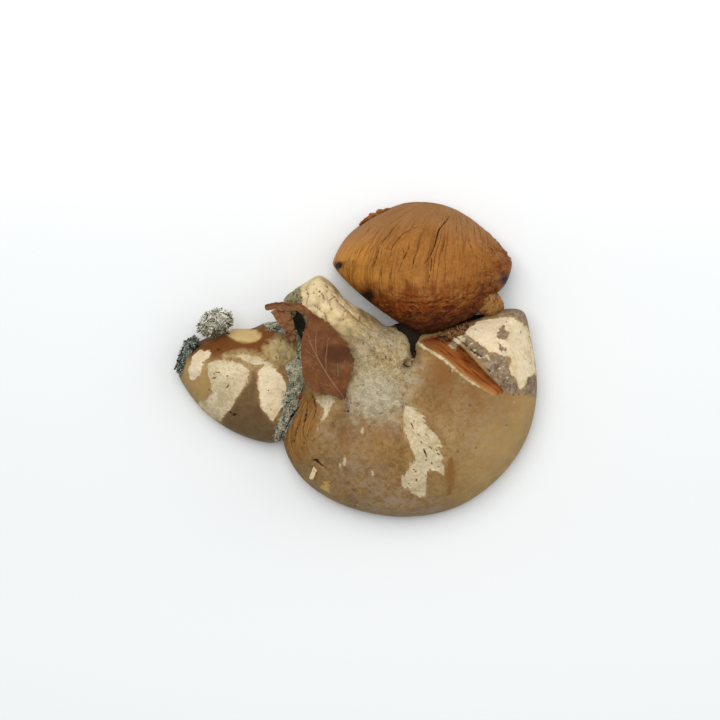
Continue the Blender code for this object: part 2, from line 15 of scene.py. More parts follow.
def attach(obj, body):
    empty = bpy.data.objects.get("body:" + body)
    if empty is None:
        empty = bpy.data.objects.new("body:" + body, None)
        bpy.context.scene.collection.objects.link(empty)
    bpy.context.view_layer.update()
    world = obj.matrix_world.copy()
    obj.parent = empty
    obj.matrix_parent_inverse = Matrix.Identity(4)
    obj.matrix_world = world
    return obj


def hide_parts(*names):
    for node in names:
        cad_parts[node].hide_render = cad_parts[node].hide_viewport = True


bl_info = {
    "name": "Dried oyster mushroom",
    "version": (1, 0, 0),
    "blender": (4, 5, 0),
    "location": "View3D > Sidebar > Mushroom",
    "description": "Builds the surfaces of a dried oyster mushroom cluster and its studio",
    "category": "Add Mesh",
}

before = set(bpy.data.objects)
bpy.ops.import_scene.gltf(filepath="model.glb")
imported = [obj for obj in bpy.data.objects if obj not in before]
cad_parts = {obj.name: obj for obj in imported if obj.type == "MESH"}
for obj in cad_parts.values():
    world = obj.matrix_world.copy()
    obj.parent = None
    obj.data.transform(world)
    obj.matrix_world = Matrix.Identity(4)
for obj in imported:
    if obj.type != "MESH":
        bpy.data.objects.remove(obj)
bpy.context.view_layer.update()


def mm(*numbers):
    """Points in metres from a run of x, y pairs in millimetres."""
    return np.array(numbers, float).reshape(-1, 2) / 1000


# Outlines seen from above, anticlockwise from the right, as in the solid.
LARGE_CAP_EDGE = mm(
    77.2, -12.3, 76.3, -0.2, 74.2, 10.5, 71.6, 20.0, 64.7, 21.7, 57.8, 19.8, 50.0, 19.0, 42.0, 19.0,
    33.0, 19.0, 25.0, 17.8, 18.2, 15.6, 12.3, 14.3, 6.5, 18.7, -5.4, 26.0, -9.8, 31.6, -15.8, 35.8,
    -21.4, 33.3, -26.9, 29.5, -31.2, 25.2, -30.3, 17.8, -26.8, 8.4, -25.2, -11.0, -28.6, -20.9,
    -31.6, -30.3, -30.7, -38.9, -26.4, -47.5, -19.6, -54.8, -9.2, -61.3, 3.2, -65.6, 17.4, -67.7,
    32.0, -66.7, 44.9, -62.6, 56.1, -55.3, 65.6, -45.8, 72.5, -34.6, 75.9, -23.9)
CAP_SHOULDER = np.vstack([LARGE_CAP_EDGE[:12], mm(4.0, 12.0, -6.0, 9.0, -16.0, 4.0, -22.5, -3.0),
                          LARGE_CAP_EDGE[21:]])
BASE_LOBE = np.vstack([LARGE_CAP_EDGE[11:22],
                       mm(-20.0, -21.0, -8.0, -26.0, 8.0, -20.0, 19.0, -6.0, 21.0, 8.0)])
SMALL_CAP_EDGE = mm(
    -18.0, -5.4, -22.1, 4.8, -26.2, 11.8, -32.2, 15.8, -39.2, 15.6, -45.5, 13.2, -54.5, 12.8, -66.4, 8.4,
    -73.7, 3.0, -76.8, -5.0, -74.6, -11.0, -66.0, -22.1, -52.2, -31.6, -36.8, -35.9, -29.0, -31.0,
    -21.5, -18.0)
DRIED_CAP_EDGE = mm(
    66.4, 40.2, 64.7, 44.1, 56.5, 54.4, 41.9, 64.7, 26.9, 67.7, 12.3, 64.3, -2.8, 54.4, -9.9, 43.2,
    -9.0, 38.5, -2.8, 31.6, 6.7, 23.4, 17.0, 16.1, 27.7, 10.0, 40.6, 13.1, 51.8, 20.0, 57.5, 26.2,
    63.4, 32.0)
LARGE_CAP_TOP, LARGE_CAP_STEM = mm(19.0, -19.0)[0], mm(6.2, -6.2)[0]
SMALL_CAP_TOP, SMALL_CAP_STEM = mm(-48.0, -11.0)[0], mm(-30.0, -8.0)[0]
DRIED_CAP_TOP, DRIED_CAP_STEM = mm(38.1, 61.0)[0], mm(33.0, 24.0)[0]
SPLIT_LIP = mm(25.6, 7.0, 35.5, 0.5, 43.2, -5.8, 49.2, -10.1, 57.0, -14.8)
SPLIT_WALL = mm(37.5, 10.5, 44.9, 4.5, 49.4, -0.5, 55.2, -6.7, 62.0, -13.5)
CREASE = mm(24.7, 12.7, 23.9, 6.2, 23.5, 0.0, 20.5, -3.0)
BASE_RIDGE = mm(-15.0, 30.0, -6.0, 21.0, 6.0, 11.0, 13.0, 1.0)

# Marks on the large cap. A line has its half width in millimetres before its path, and a spot is its place,
# its radius and its strength.
PEEL_MIDDLE = mm(
    20.0, -19.1, 26.0, -21.7, 30.3, -28.2, 33.8, -32.5, 35.9, -41.1, 35.9, -47.9, 31.2, -46.7,
    29.0, -50.1, 29.9, -53.5, 27.3, -58.7, 23.0, -56.1, 20.4, -53.5, 18.3, -55.7, 18.3, -50.1,
    21.3, -47.9, 22.1, -43.6, 24.7, -42.4, 23.0, -36.8, 20.4, -31.2, 19.1, -24.7)
PEEL_LOBE = mm(
    45.8, 11.4, 50.1, 15.3, 57.8, 17.4, 65.1, 17.8, 70.7, 14.8, 74.2, 9.2, 75.9, 0.2, 76.3, -6.2,
    72.9, -7.1, 71.2, -10.5, 69.0, -13.1, 67.7, -9.2, 64.3, -4.1, 65.1, 0.2, 62.6, 1.5, 56.5, 2.8,
    53.1, 5.8, 48.4, 8.8)
PEEL_BY_LEAF = mm(
    -17.0, -16.1, -8.0, -14.4, -8.8, -17.0, -11.4, -20.4, -13.1, -24.7, -15.3, -26.4, -13.5, -21.7,
    -15.7, -19.1)
PEEL_CHIP = mm(38.9, 5.8, 43.2, 9.6, 45.6, 7.6, 42.6, 5.8, 41.5, 3.9)
LOBE_ISLANDS = [
    mm(58.4, 10.0, 60.6, 12.0, 61.9, 15.1, 62.8, 12.0, 65.0, 10.8, 61.6, 7.4),
    mm(59.4, 6.9, 61.0, 5.8, 62.8, 3.8, 60.4, 3.8), mm(68.6, 12.0, 69.6, 12.3, 69.4, 11.3)]
SKIN_STRIP = mm(
    46.0, 11.0, 49.0, 8.0, 54.0, 4.8, 57.5, 2.2, 63.0, 1.2, 64.0, -4.0, 66.8, -9.0, 69.0, -13.5,
    64.0, -14.8, 61.0, -12.5, 56.5, -6.5, 51.0, -0.5, 45.5, 5.0, 41.5, 8.5)
FUZZ_ZONE = mm(
    12.0, 14.0, 2.0, 13.0, -4.0, 2.0, -1.5, -9.0, -5.0, -16.0, 0.5, -23.0, 10.0, -25.5, 19.0, -22.0,
    21.5, -14.0, 24.5, -7.0, 22.0, 0.0, 22.5, 9.0)
WOOD_ZONE = mm(
    14.0, 15.0, 6.5, 20.0, -5.4, 27.5, -15.7, 37.0, -24.0, 35.0, -33.0, 27.0, -30.5, 17.8, -26.8, 8.4,
    -22.0, 2.0, -14.0, 4.0, -6.0, 8.0, 4.0, 8.5)
MOSSY_END = mm(-34.0, 27.0, -26.0, 32.0, -23.0, 27.0, -24.0, 20.0, -30.0, 17.0)
FISSURE_ZONE = mm(
    -19.5, -14.5, -16.5, -17.5, -17.0, -27.0, -20.0, -36.0, -25.0, -44.0, -31.0, -41.0, -34.0, -34.0,
    -30.5, -25.0, -26.5, -19.0, -24.0, -15.5)
MOULD_ZONE = mm(
    -41.0, 17.0, -36.0, 18.6, -30.5, 15.0, -26.0, 14.0, -22.8, 12.5, -22.6, 2.0, -22.6, -9.0,
    -24.6, -15.7, -26.6, -23.4, -29.8, -29.9, -33.0, -38.0, -35.0, -35.0, -34.3, -29.9, -31.5, -23.4,
    -30.5, -15.7, -28.5, -10.0, -30.0, -3.0, -26.0, 0.8, -24.8, 6.0, -26.8, 9.5, -33.0, 11.5, -38.0, 13.5)
# Painted shade: near-black strokes in the hollows and clefts, under the leaf's curl, between the caps and
# between the shrivelled cap and the base.
HOLLOW_SHADE_LINES = [
    (4.2, mm(-28.0, 21.0, -25.5, 17.5, -23.6, 11.0)), (1.7, mm(-24.0, 13.0, -23.6, 7.0)),
    (1.4, mm(-24.6, 0.4, -24.0, -2.6)), (1.5, mm(-24.2, -7.0, -23.4, -11.6)),
    (0.55, mm(-25.0, -20.3, -28.4, -25.6, -31.3, -31.4)), (0.5, mm(-31.5, -30.0, -33.4, -36.0)),
    (3.9, mm(8.0, 22.5, 14.0, 19.5, 20.0, 15.0, 24.0, 9.0)), (1.2, mm(22.0, 10.0, 23.6, 5.0, 23.9, 0.5)),
    (2.6, mm(24.0, 14.0, 30.0, 13.6, 36.0, 14.5, 42.0, 16.5, 48.0, 18.0, 56.0, 20.0)),
    (0.8, mm(-22.4, 5.0, -22.0, -4.0, -21.0, -10.5))]
FLECKS = [
    mm(1.9, -28.6, 2.9, -29.0, 2.6, -31.8, 1.8, -31.0),
    mm(-6.0, -44.0, -5.2, -40.4, -4.4, -42.6, -5.0, -45.0), mm(-7.6, -43.9, -6.4, -44.2, -7.0, -46.3),
    mm(6.2, -47.0, 7.2, -47.6, 6.6, -50.4)]
YELLOW_SPOT = mm(-14.6, -52.6, -11.6, -51.8, -10.4, -54.6, -12.4, -56.8, -14.8, -55.4)
# Creases in the base: their darker brown is partly the base's own colour and partly painted shade in them.
BASE_CREASES = [
    (0.3, mm(-12.5, 29.0, -8.0, 24.5, -3.0, 20.0, 2.0, 15.5, 6.0, 12.5)),
    (0.35, mm(-18.5, 23.0, -14.0, 19.5, -11.5, 14.0, -6.5, 10.0, -1.0, 8.5)),
    (0.25, mm(-17.0, 29.5, -14.0, 26.0, -14.5, 23.5)), (0.25, mm(-9.5, 27.5, -11.5, 23.5, -10.0, 20.0)),
    (0.25, mm(-4.0, 22.5, -6.0, 18.0, -4.5, 15.0)), (0.25, mm(2.0, 19.0, 0.5, 15.5, 2.5, 12.5)),
    (0.3, mm(-22.0, 31.0, -20.0, 27.0, -21.5, 23.0))]
GREY_EDGES = [
    mm(58.0, 20.0, 66.0, 22.5, 72.5, 21.0, 74.5, 11.0, 72.0, 12.5, 69.5, 16.5, 64.0, 18.6, 59.0, 18.2),
    mm(71.5, -7.5, 77.5, -5.5, 77.5, -16.0, 73.0, -15.0, 68.5, -14.0, 71.0, -11.0)]
DARK_LINES = [
    (0.7, mm(23.9, 8.0, 23.9, 4.0, 23.7, 0.0, 22.0, -2.6, 19.8, -2.2)),
    (0.50, mm(41.5, 9.8, 45.5, 6.8, 47.4, 4.5, 50.4, 2.8, 52.9, 0.7)), (0.45, mm(54.8, -4.2, 57.7, -6.0)),
    (0.40, mm(-19.8, -13.5, -18.5, -17.3, -18.0, -20.3, -18.5, -24.8)),
    (0.48, mm(-21.1, -17.0, -21.7, -22.4, -22.8, -27.1, -23.0, -32.2)),
    (0.32, mm(-24.0, -24.6, -26.2, -31.0, -28.3, -36.4)),
    (0.13, mm(-20.2, -14.5, -20.0, -20.0, -20.8, -25.0)),
    (0.14, mm(-22.9, -22.0, -24.6, -27.0, -25.9, -31.5)),
    (0.12, mm(-20.4, -29.0, -22.0, -35.0, -25.0, -40.0)), (0.12, mm(-17.9, -32.7, -19.8, -36.4)),
    (0.12, mm(-25.6, -31.0, -28.0, -37.5)), (0.62, mm(-19.4, -43.2, -17.5, -42.9, -15.2, -44.8)),
    (0.45, mm(-17.5, -43.4, -13.2, -46.2)), (0.40, mm(-16.6, -43.0, -15.6, -41.8)),
    (0.28, mm(22.6, -26.6, 23.8, -29.4)), (0.22, mm(25.6, -31.4, 26.8, -33.4)),
    (0.20, mm(28.0, -37.8, 29.4, -40.2)), (0.22, mm(30.4, -36.6, 31.6, -38.2)),
    (0.26, mm(33.6, -39.8, 35.2, -40.6)), (0.20, mm(24.0, -46.6, 25.4, -48.4)),
    (0.18, mm(22.0, -52.4, 22.4, -54.6)), (0.20, mm(31.0, -43.6, 32.6, -45.2)),
    (0.9, mm(-16.0, 28.9, -15.4, 28.1)), (0.4, mm(-12.6, 31.6, -11.6, 30.6)),
    (0.7, mm(-30.0, 26.5, -29.3, 25.4)), (0.45, mm(-27.0, 27.5, -26.2, 29.0, -24.5, 28.0)),
    (0.18, mm(34.0, -38.6, 32.5, -39.2)), (0.13, mm(26.2, -32.0, 27.4, -36.0)),
    (0.13, mm(29.0, -31.5, 30.4, -34.0)), (0.13, mm(28.5, -39.0, 29.8, -42.0)),
    (0.13, mm(25.0, -50.0, 25.2, -53.0)), (0.35, mm(-23.6, -51.6, -23.2, -52.0)),
    (0.3, mm(-1.2, -62.6, -0.8, -62.8)), (0.25, mm(30.0, 2.2, 30.4, 2.0)),
    (0.25, mm(39.0, -4.6, 39.4, -4.9)), (0.22, mm(44.0, -8.4, 44.3, -8.7)),
    (0.2, mm(45.0, -26.0, 46.0, -26.6)), (0.2, mm(37.0, -28.0, 37.2, -28.6))]
WARM_SPOTS = [
    (9.0, -34.0, 11.0, 0.5), (17.0, -54.0, 2.6, 0.9), (40.0, -20.0, 13.0, 0.3), (62.0, -22.0, 10.0, 0.3),
    (37.0, -5.0, 8.0, 0.8), (-4.0, -36.0, 6.0, 0.3), (50.0, -13.0, 6.0, 0.6)]
WARM_LINES = [(2.1, mm(39.6, -42.0, 39.5, -48.0, 39.2, -56.5)), (1.0, mm(22.5, -54.0, 22.8, -60.0))]
UMBER_SPOTS = [
    (60.0, -12.0, 12.0, 0.4), (39.0, -7.0, 8.0, 0.6), (-2.0, -26.0, 8.0, 0.7), (30.0, -12.0, 7.0, 0.35),
    (-24.0, -46.0, 9.0, 0.3), (30.0, -30.0, 6.0, 0.3)]
FELT_SPOTS = [(3.0, -14.0, 7.0, 1.0), (9.0, -20.0, 6.0, 1.0), (13.0, -13.0, 5.0, 0.7)]
GRIT_SPOTS = [(14.0, -1.5, 5.0, 1.0), (9.0, 3.0, 4.0, 0.7), (18.0, -8.0, 4.0, 0.8)]
BLOOM_SPOTS = [
    (12.0, -63.0, 12.0, 1.0), (30.0, -64.0, 9.0, 0.8), (52.0, -30.0, 16.0, 0.4), (-2.0, -45.0, 10.0, 0.6),
    (24.0, -6.5, 5.5, 0.9), (2.0, -26.0, 7.0, 0.7), (-14.0, -30.0, 6.0, 0.6), (16.0, -27.0, 5.0, 0.8)]

# Marks on the small cap
PEEL_SMALL = [
    mm(-70.3, 1.5, -67.3, 3.7, -61.7, 2.8, -65.1, -1.9, -66.9, -6.2, -69.4, -8.8, -71.6, -7.1),
    mm(-62.6, -1.9, -57.4, -0.2, -51.6, -1.1, -45.8, -4.5, -46.7, -10.5, -51.0, -16.1, -54.4, -21.7,
       -57.4, -24.3, -58.7, -26.9, -63.0, -23.9, -68.6, -19.1, -64.3, -17.0, -61.7, -12.7, -63.4, -7.1),
    mm(-41.5, -4.1, -36.8, -2.4, -32.5, -6.2, -29.9, -11.8, -30.7, -18.3, -33.3, -22.6, -35.5, -26.4,
       -37.6, -23.9, -40.6, -19.1, -41.5, -13.5, -42.0, -9.0),
    mm(-56.1, 12.7, -49.7, 13.1, -41.1, 11.0, -43.2, 8.0, -48.8, 7.5, -54.8, 10.1),
    mm(-56.5, 1.0, -50.0, 3.5, -43.0, 2.5, -36.0, -0.5, -34.6, -4.0, -42.0, -3.6, -46.0, -2.8,
       -52.0, 0.2)]
GREY_SMALL = mm(
    -44.0, -4.5, -41.8, -9.0, -41.6, -14.0, -40.6, -19.1, -37.6, -23.9, -35.5, -26.6, -27.0, -30.0,
    -36.0, -37.0, -50.0, -33.0, -58.0, -27.5, -54.4, -21.7, -51.0, -16.1, -46.5, -10.5)
MOUND = mm(-39.0, 4.5, -34.0, 9.5, -27.5, 8.8, -25.4, 4.0, -25.8, 1.2, -30.5, -1.6, -37.0, -0.8)
DARK_SMALL = [
    (0.5, mm(-54.4, -22.3, -52.8, -23.8, -51.2, -23.6)), (0.35, mm(-52.8, -23.8, -53.6, -24.2)),
    (0.28, mm(-60.2, -6.0, -58.2, -5.4)), (0.28, mm(-62.0, -8.4, -60.2, -7.7)),
    (0.28, mm(-56.0, -12.4, -54.4, -11.0)), (0.25, mm(-55.6, -7.6, -54.6, -7.2)),
    (0.35, mm(-44.4, 1.0, -43.8, 0.9)), (0.3, mm(-37.4, -13.4, -37.0, -13.5)),
    (0.5, mm(-59.5, 4.2, -58.6, 4.4)), (0.25, mm(-40.0, 7.4, -37.0, 6.6))]

# Cracks in the shrivelled cap
DRIED_CRACKS = [
    (0.26, mm(39.1, 60.8, 37.5, 58.6, 35.7, 56.1, 34.6, 54.9, 33.8, 52.7, 32.9, 50.0, 32.5, 47.9,
              31.2, 44.5, 30.4, 42.8)),
    (0.15, mm(31.0, 43.5, 29.0, 41.0, 27.5, 38.5)), (0.17, mm(31.4, 43.0, 31.2, 38.5, 29.8, 32.5)),
    (0.19, mm(26.5, 56.1, 21.0, 53.8, 17.4, 51.0, 14.6, 46.0, 14.0, 42.0)),
    (0.21, mm(18.3, 57.8, 12.5, 52.0, 9.2, 45.8, 7.6, 42.0, 6.2, 38.5)), (0.19, mm(5.4, 56.1, 2.8, 53.5)),
    (0.19, mm(-0.6, 47.9, -2.8, 44.0, -4.5, 41.1)), (0.19, mm(51.4, 56.1, 53.1, 52.3)),
    (0.16, mm(53.1, 52.3, 57.5, 43.8)), (0.19, mm(55.7, 49.7, 58.2, 44.1)),
    (0.14, mm(47.0, 52.0, 48.4, 46.5, 50.0, 42.0)), (0.15, mm(22.0, 48.0, 19.5, 42.5, 17.8, 38.5)),
    (0.14, mm(10.5, 53.0, 6.0, 47.0, 2.5, 42.0)), (0.11, mm(36.5, 50.0, 36.0, 45.0)),
    (0.14, mm(14.5, 38.0, 13.2, 32.5)), (0.12, mm(2.0, 50.5, -1.5, 44.5)),
    (0.12, mm(24.5, 44.0, 23.0, 38.0))]

# Middle lines of the moss cushion and of the dark crust
TUFT_LINE = np.array([(-63.4, 13.6, 15.0), (-60.8, 16.8, 16.8), (-57.0, 16.0, 16.0)]) / 1000
CRUST_LINE = np.array([(-69.4, 7.8, 11.2), (-72.8, 4.0, 10.0), (-74.6, -4.5, 9.0)]) / 1000

# Loose crumbs
SPLINTER, SPLINTER_HALF = (-0.0182, -0.0476), (0.0009, 0.0038, 0.0007)
RED_CRUMB = (-0.0243, -0.0153)
DEBRIS_ZONE = mm(34.5, 11.0, 41.0, 13.6, 47.0, 15.0, 46.0, 12.0, 41.0, 9.6, 36.0, 8.0)

# The dead leaf, from its stalk to its curled tip
LEAF_EAST = mm(
    -4.7, -15.7, -4.1, -10.1, -2.4, -5.8, -1.5, -0.6, -3.7, 4.9, -8.0, 11.0, -12.7, 15.7, -17.8, 18.7,
    -21.7, 22.1, -26.9, 23.9, -33.5, 24.1, -38.5, 22.9)
LEAF_MIDRIB = mm(
    -5.4, -16.1, -8.0, -12.7, -11.4, -8.0, -14.4, -3.2, -17.0, 1.5, -19.6, 7.1, -20.9, 11.8, -20.0, 16.1,
    -22.0, 19.8, -27.3, 22.2, -33.2, 22.5, -39.1, 22.0)
LEAF_WEST = mm(
    -6.0, -16.6, -11.8, -14.8, -17.8, -13.5, -21.7, -9.7, -23.0, -3.7, -23.4, 3.2, -23.0, 9.2,
    -21.2, 14.2, -20.9, 17.6, -25.6, 20.5, -33.0, 20.7, -38.5, 21.0)
LEAF_HEIGHTS = np.array([33.0, 33.5, 34.0, 34.5, 34.5, 34.0, 33.5, 32.5, 31.0, 29.5, 28.0, 26.5]) / 1000
FLAP_LEFT = mm(-36.4, 20.0, -33.1, 15.3, -30.8, 12.4, -29.9, 8.6, -29.2, 7.6)
FLAP_MIDDLE = mm(-33.0, 21.5, -30.5, 17.0, -28.8, 13.5, -28.0, 9.5, -27.9, 7.5)
FLAP_RIGHT = mm(-30.0, 22.2, -27.8, 18.0, -26.6, 15.0, -26.4, 10.5, -26.7, 8.0)
FLAP_HEIGHTS = np.array([28.5, 27.5, 26.0, 24.0, 22.5]) / 1000
STALK_LINE = mm(-4.9, -16.0, -4.0, -17.8, -3.6, -19.8, -3.7, -22.2)
LEAF_SHADOW = mm(-13.5, 4.8, -4.2, 5.0, -1.0, -0.5, -7.0, -1.6, -12.0, 0.0)
LEAF_TEAR = mm(-8.5, -1.0, -7.7, -1.6, -7.4, -6.4, -8.1, -8.4, -8.5, -5.6)
# Painted shade on the leaf: broad dark spots across its middle, as x, y and radius in millimetres, with a
# strength.
LEAF_SHADE_SPOTS = [(-13.5, 1.5, 4.5, 0.45), (-12.0, -5.0, 3.5, 0.3)]
LEAF_VEINS = [
    (0.34, mm(-4.9, -16.6, -8.0, -12.7, -11.4, -8.0, -14.4, -3.2, -17.0, 1.5, -19.6, 7.1, -20.4, 11.0)),
    (0.24, mm(-12.8, -5.8, -13.0, 1.0, -12.0, 9.0)), (0.22, mm(-16.4, 0.6, -17.4, 6.0, -16.8, 12.5)),
    (0.12, mm(-10.0, -10.0, -6.6, -4.5, -4.6, 1.0)), (0.12, mm(-12.0, -7.0, -17.5, -4.0, -22.0, -2.5)),
    (0.12, mm(-15.6, -1.0, -19.0, 2.0, -22.4, 4.2)), (0.12, mm(-8.6, -11.8, -14.5, -10.5, -19.0, -8.6)),
    (0.12, mm(-17.8, 3.4, -20.4, 7.4, -22.2, 9.6))]

# Finishes of the small pieces: middle, deep and light colour, roughness and strength of the relief.
TINTED_FINISHES = [
    ("torn flesh", (0.150, 0.090, 0.042), (0.016, 0.011, 0.006), (0.25, 0.165, 0.09), 0.8, 0.7),
    ("mouldy flesh", (0.250, 0.240, 0.160), (0.020, 0.044, 0.036), (0.52, 0.50, 0.38), 0.9, 0.7),
    ("olive moss", (0.300, 0.255, 0.125), (0.018, 0.022, 0.012), (0.66, 0.60, 0.38), 0.9, 0.4),
    ("ochre flesh", (0.330, 0.150, 0.040), (0.030, 0.014, 0.006), (0.45, 0.24, 0.085), 0.8, 0.7),
    ("pale moss", (0.82, 0.77, 0.60), (0.22, 0.19, 0.10), (0.95, 0.93, 0.84), 0.9, 0.4),
    ("dark moss", (0.21, 0.225, 0.180), (0.016, 0.026, 0.020), (0.74, 0.76, 0.66), 0.9, 0.4),
    ("mould", (0.440, 0.415, 0.280), (0.022, 0.050, 0.042), (0.80, 0.77, 0.61), 0.9, 0.4),
    ("grey fuzz", (0.50, 0.42, 0.27), (0.25, 0.18, 0.08), (0.68, 0.61, 0.46), 0.95, 0.4),
    ("wood splinter", (0.66, 0.53, 0.33), (0.44, 0.30, 0.14), (0.80, 0.68, 0.48), 0.8, 0.4),
    ("torn crumbs", (0.185, 0.085, 0.030), (0.045, 0.022, 0.010), (0.36, 0.20, 0.095), 0.8, 0.4),
    ("stalk grey", (0.215, 0.165, 0.135), (0.030, 0.018, 0.014), (0.36, 0.30, 0.25), 0.85, 0.4),
    ("red crumb", (0.22, 0.045, 0.010), (0.10, 0.018, 0.006), (0.33, 0.09, 0.02), 0.7, 0.4),
]

FLOOR = 0.0

# Radius in millimetres at which the fibres' pattern has its true width.
FAN_RADIUS = 30

# Gills round each stem, and mesh rings over the skin and over the gills.
LARGE_CAP_GILLS, SMALL_CAP_GILLS, DRIED_CAP_GILLS = 125, 80, 105
LARGE_CAP_RINGS, SMALL_CAP_RINGS, DRIED_CAP_RINGS = (140, 50), (110, 40), (155, 45)

# The rolled edge's depth, the thin sheets and the gap that the leaf keeps from the skin.
CAP_ROLL = 0.0062
BLADE_THICKNESS, FLAP_SKIN_THICKNESS = 0.00022, 0.0005
CLEAR_OF_SKIN = 0.0006

# The camera's lens and sensor in millimetres, and the width that it sees at the cluster.
LENS, SENSOR, PICTURE_WIDTH = 150.0, 36.0, 0.3078


def smooth_loop(points, closed=True, pieces=5):
    """Points along a smooth curve through the given ones."""
    p = np.asarray(points, float)
    if closed:
        before, start, end, after = np.roll(p, 1, 0), p, np.roll(p, -1, 0), np.roll(p, -2, 0)
    else:
        start, end = p[:-1], p[1:]
        before, after = np.vstack([p[:1], p[:-2]]), np.vstack([p[2:], p[-1:]])
    rows = []
    for t in np.arange(pieces) / pieces:
        bend = 2 * before - 5 * start + 4 * end - after
        rows.append(0.5 * (2 * start + (end - before) * t + bend * t**2
                           + (3 * start - before - 3 * end + after) * t**3))
    curve = np.stack(rows, 1).reshape(-1, p.shape[1])
    return curve if closed else np.vstack([curve, p[-1:]])


def even_points(curve, count, closed=True):
    """Points the same distance apart along a curve, starting at its first."""
    line = np.vstack([curve, curve[:1]]) if closed else curve
    run = np.concatenate([[0], np.cumsum(np.linalg.norm(np.diff(line, axis=0), axis=1))])
    at = np.linspace(0, run[-1], count, endpoint=not closed)
    return np.column_stack([np.interp(at, run, line[:, k]) for k in range(line.shape[1])])


def distance_to(path, xy):
    """How far each place is from a path, and how far along the path its nearest point lies, 0 to 1."""
    steps = np.diff(path, axis=0)
    lengths = np.linalg.norm(steps, axis=1)
    runs = np.concatenate([[0], np.cumsum(lengths)])
    best, share = np.full(len(xy), np.inf), np.zeros(len(xy))
    for start, step, length, run in zip(path[:-1], steps, lengths, runs):
        away = xy - start
        t = np.clip(away @ step / length**2, 0, 1)
        gap = np.hypot(away[:, 0] - t * step[0], away[:, 1] - t * step[1])
        nearer = gap < best
        share[nearer] = (run + t[nearer] * length) / runs[-1]
        best = np.minimum(best, gap)
    return best, share


def inside(loop, xy):
    line = np.vstack([loop, loop[:1]])
    within = np.zeros(len(xy), bool)
    for (x0, y0), (x1, y1) in zip(line[:-1], line[1:]):
        if y0 != y1:
            crossing = x0 + (xy[:, 1] - y0) / (y1 - y0) * (x1 - x0)
            within ^= ((y0 > xy[:, 1]) != (y1 > xy[:, 1])) & (xy[:, 0] < crossing)
    return within


def smooth_step(low, high, x):
    t = np.clip((x - low) / (high - low), 0, 1)
    return t * t * (3 - 2 * t)


def swell(edge, xy, reach, power=0.55):
    """Height of a plump crown: 0 at the edge and outside it, 1 from the given distance inside it."""
    loop = smooth_loop(edge)
    gap, _ = distance_to(np.vstack([loop, loop[:1]]), xy)
    return np.where(inside(loop, xy), (1 - (1 - np.clip(gap / reach, 0, 1)) ** 2.2) ** power, 0.0)


def patch(outline, xy, pieces=3):
    """Millimetres inside an outline, negative outside it."""
    loop = smooth_loop(outline, pieces=pieces)
    near = (np.abs(xy - loop.mean(0)) < np.ptp(loop, axis=0) / 2 + 0.012).all(1)
    depth = np.full(len(xy), -12.0)
    gap, _ = distance_to(np.vstack([loop, loop[:1]]), xy[near])
    depth[near] = np.where(inside(loop, xy[near]), gap, -gap) * 1000
    return depth


def strokes(lines, xy, softness=1.0):
    """1 along the middle of each of a set of lines, 0 past its width in millimetres."""
    mark = np.zeros(len(xy))
    for width, path in lines:
        reach = width / 1000 * softness
        near = ((xy > path.min(0) - 5 * reach) & (xy < path.max(0) + 5 * reach)).all(1)
        if near.any():
            gap, share = distance_to(smooth_loop(path, closed=False, pieces=4), xy[near])
            taper = 0.25 + 0.75 * np.sin(np.pi * np.clip(share * 0.94 + 0.03, 0, 1)) ** 0.7
            mark[near] = np.maximum(mark[near], np.exp(-((gap / (reach * taper)) ** 2)))
    return mark


def spots(blobs, xy):
    """Soft round spots: x, y and radius in millimetres, with a strength."""
    mark = np.zeros(len(xy))
    for x, y, radius, strength in blobs:
        gap = np.hypot(xy[:, 0] * 1000 - x, xy[:, 1] * 1000 - y)
        mark += strength * np.exp(-((gap / radius) ** 2))
    return np.clip(mark, 0, 1)


def lattice_noise(p, seed):
    """Smooth gradient noise, about -1 to 1, at an array of 3-D places with a lattice pitch of 1."""
    cell = np.floor(p).astype(np.int64)
    t = p - cell
    fade = t * t * t * (t * (t * 6 - 15) + 10)
    total = np.zeros(len(p))
    for corner in range(8):
        offset = np.array([corner & 1, corner >> 1 & 1, corner >> 2 & 1])
        k = (cell + offset) @ np.array([73856093, 19349663, 83492791]) + seed * 2654435
        k = (k ^ k >> 13) * 1274126177 & 0xFFFFFFFF
        k = (k ^ k >> 16) * 668265263 & 0xFFFFFFFF
        slope = np.stack([(k >> s & 255) / 127.5 - 1 for s in (3, 11, 19)], 1)
        share = np.prod(np.where(offset, fade, 1 - fade), axis=1)
        total += share * ((t - offset) * slope).sum(1)
    return total * 1.6


def grain(places, pitch, octaves=3, seed=0):
    """Noise from about -1 to 1 over places, with features of the given pitch in metres."""
    scaled = np.asarray(places, float) / pitch
    if scaled.shape[1] == 2:
        scaled = np.column_stack([scaled, np.full(len(scaled), 0.37 * seed)])
    total, size = np.zeros(len(scaled)), 1.0
    for octave in range(octaves):
        total += size * lattice_noise(scaled * 2.03**octave + 17.1 * octave, seed * 31 + octave)
        size *= 0.5
    return total


def blend_of(a, b, width):
    """The larger of two heights, rounded where they meet."""
    share = np.clip(0.5 + 0.5 * (a - b) / width, 0, 1)
    return b + (a - b) * share + width * share * (1 - share)


def lip(u):
    t = np.clip((1 - u) / 0.16, 0, 1)
    return np.sqrt(np.maximum(0, 1 - (2 * t - 1) ** 2))


def vault(u):
    return np.sin(np.clip(u / 0.84, 0, 1) * math.pi) ** 0.7


def gill_wave(turn, count, u):
    """Thin gills round a hub, fading at the stem and at the rolled edge."""
    wave = 1 - 2 * np.abs(2 * ((turn * count) % 1) - 1)
    return wave * smooth_step(0.12, 0.35, u) * smooth_step(0.90, 0.82, u)


def valley_of(upper, turn, count, u):
    """How deep between two gills a place lies, 0 on the skin."""
    return np.where(upper, 0, np.clip(0.5 + 0.5 * gill_wave(turn, count, u), 0, 1))


# Node trees

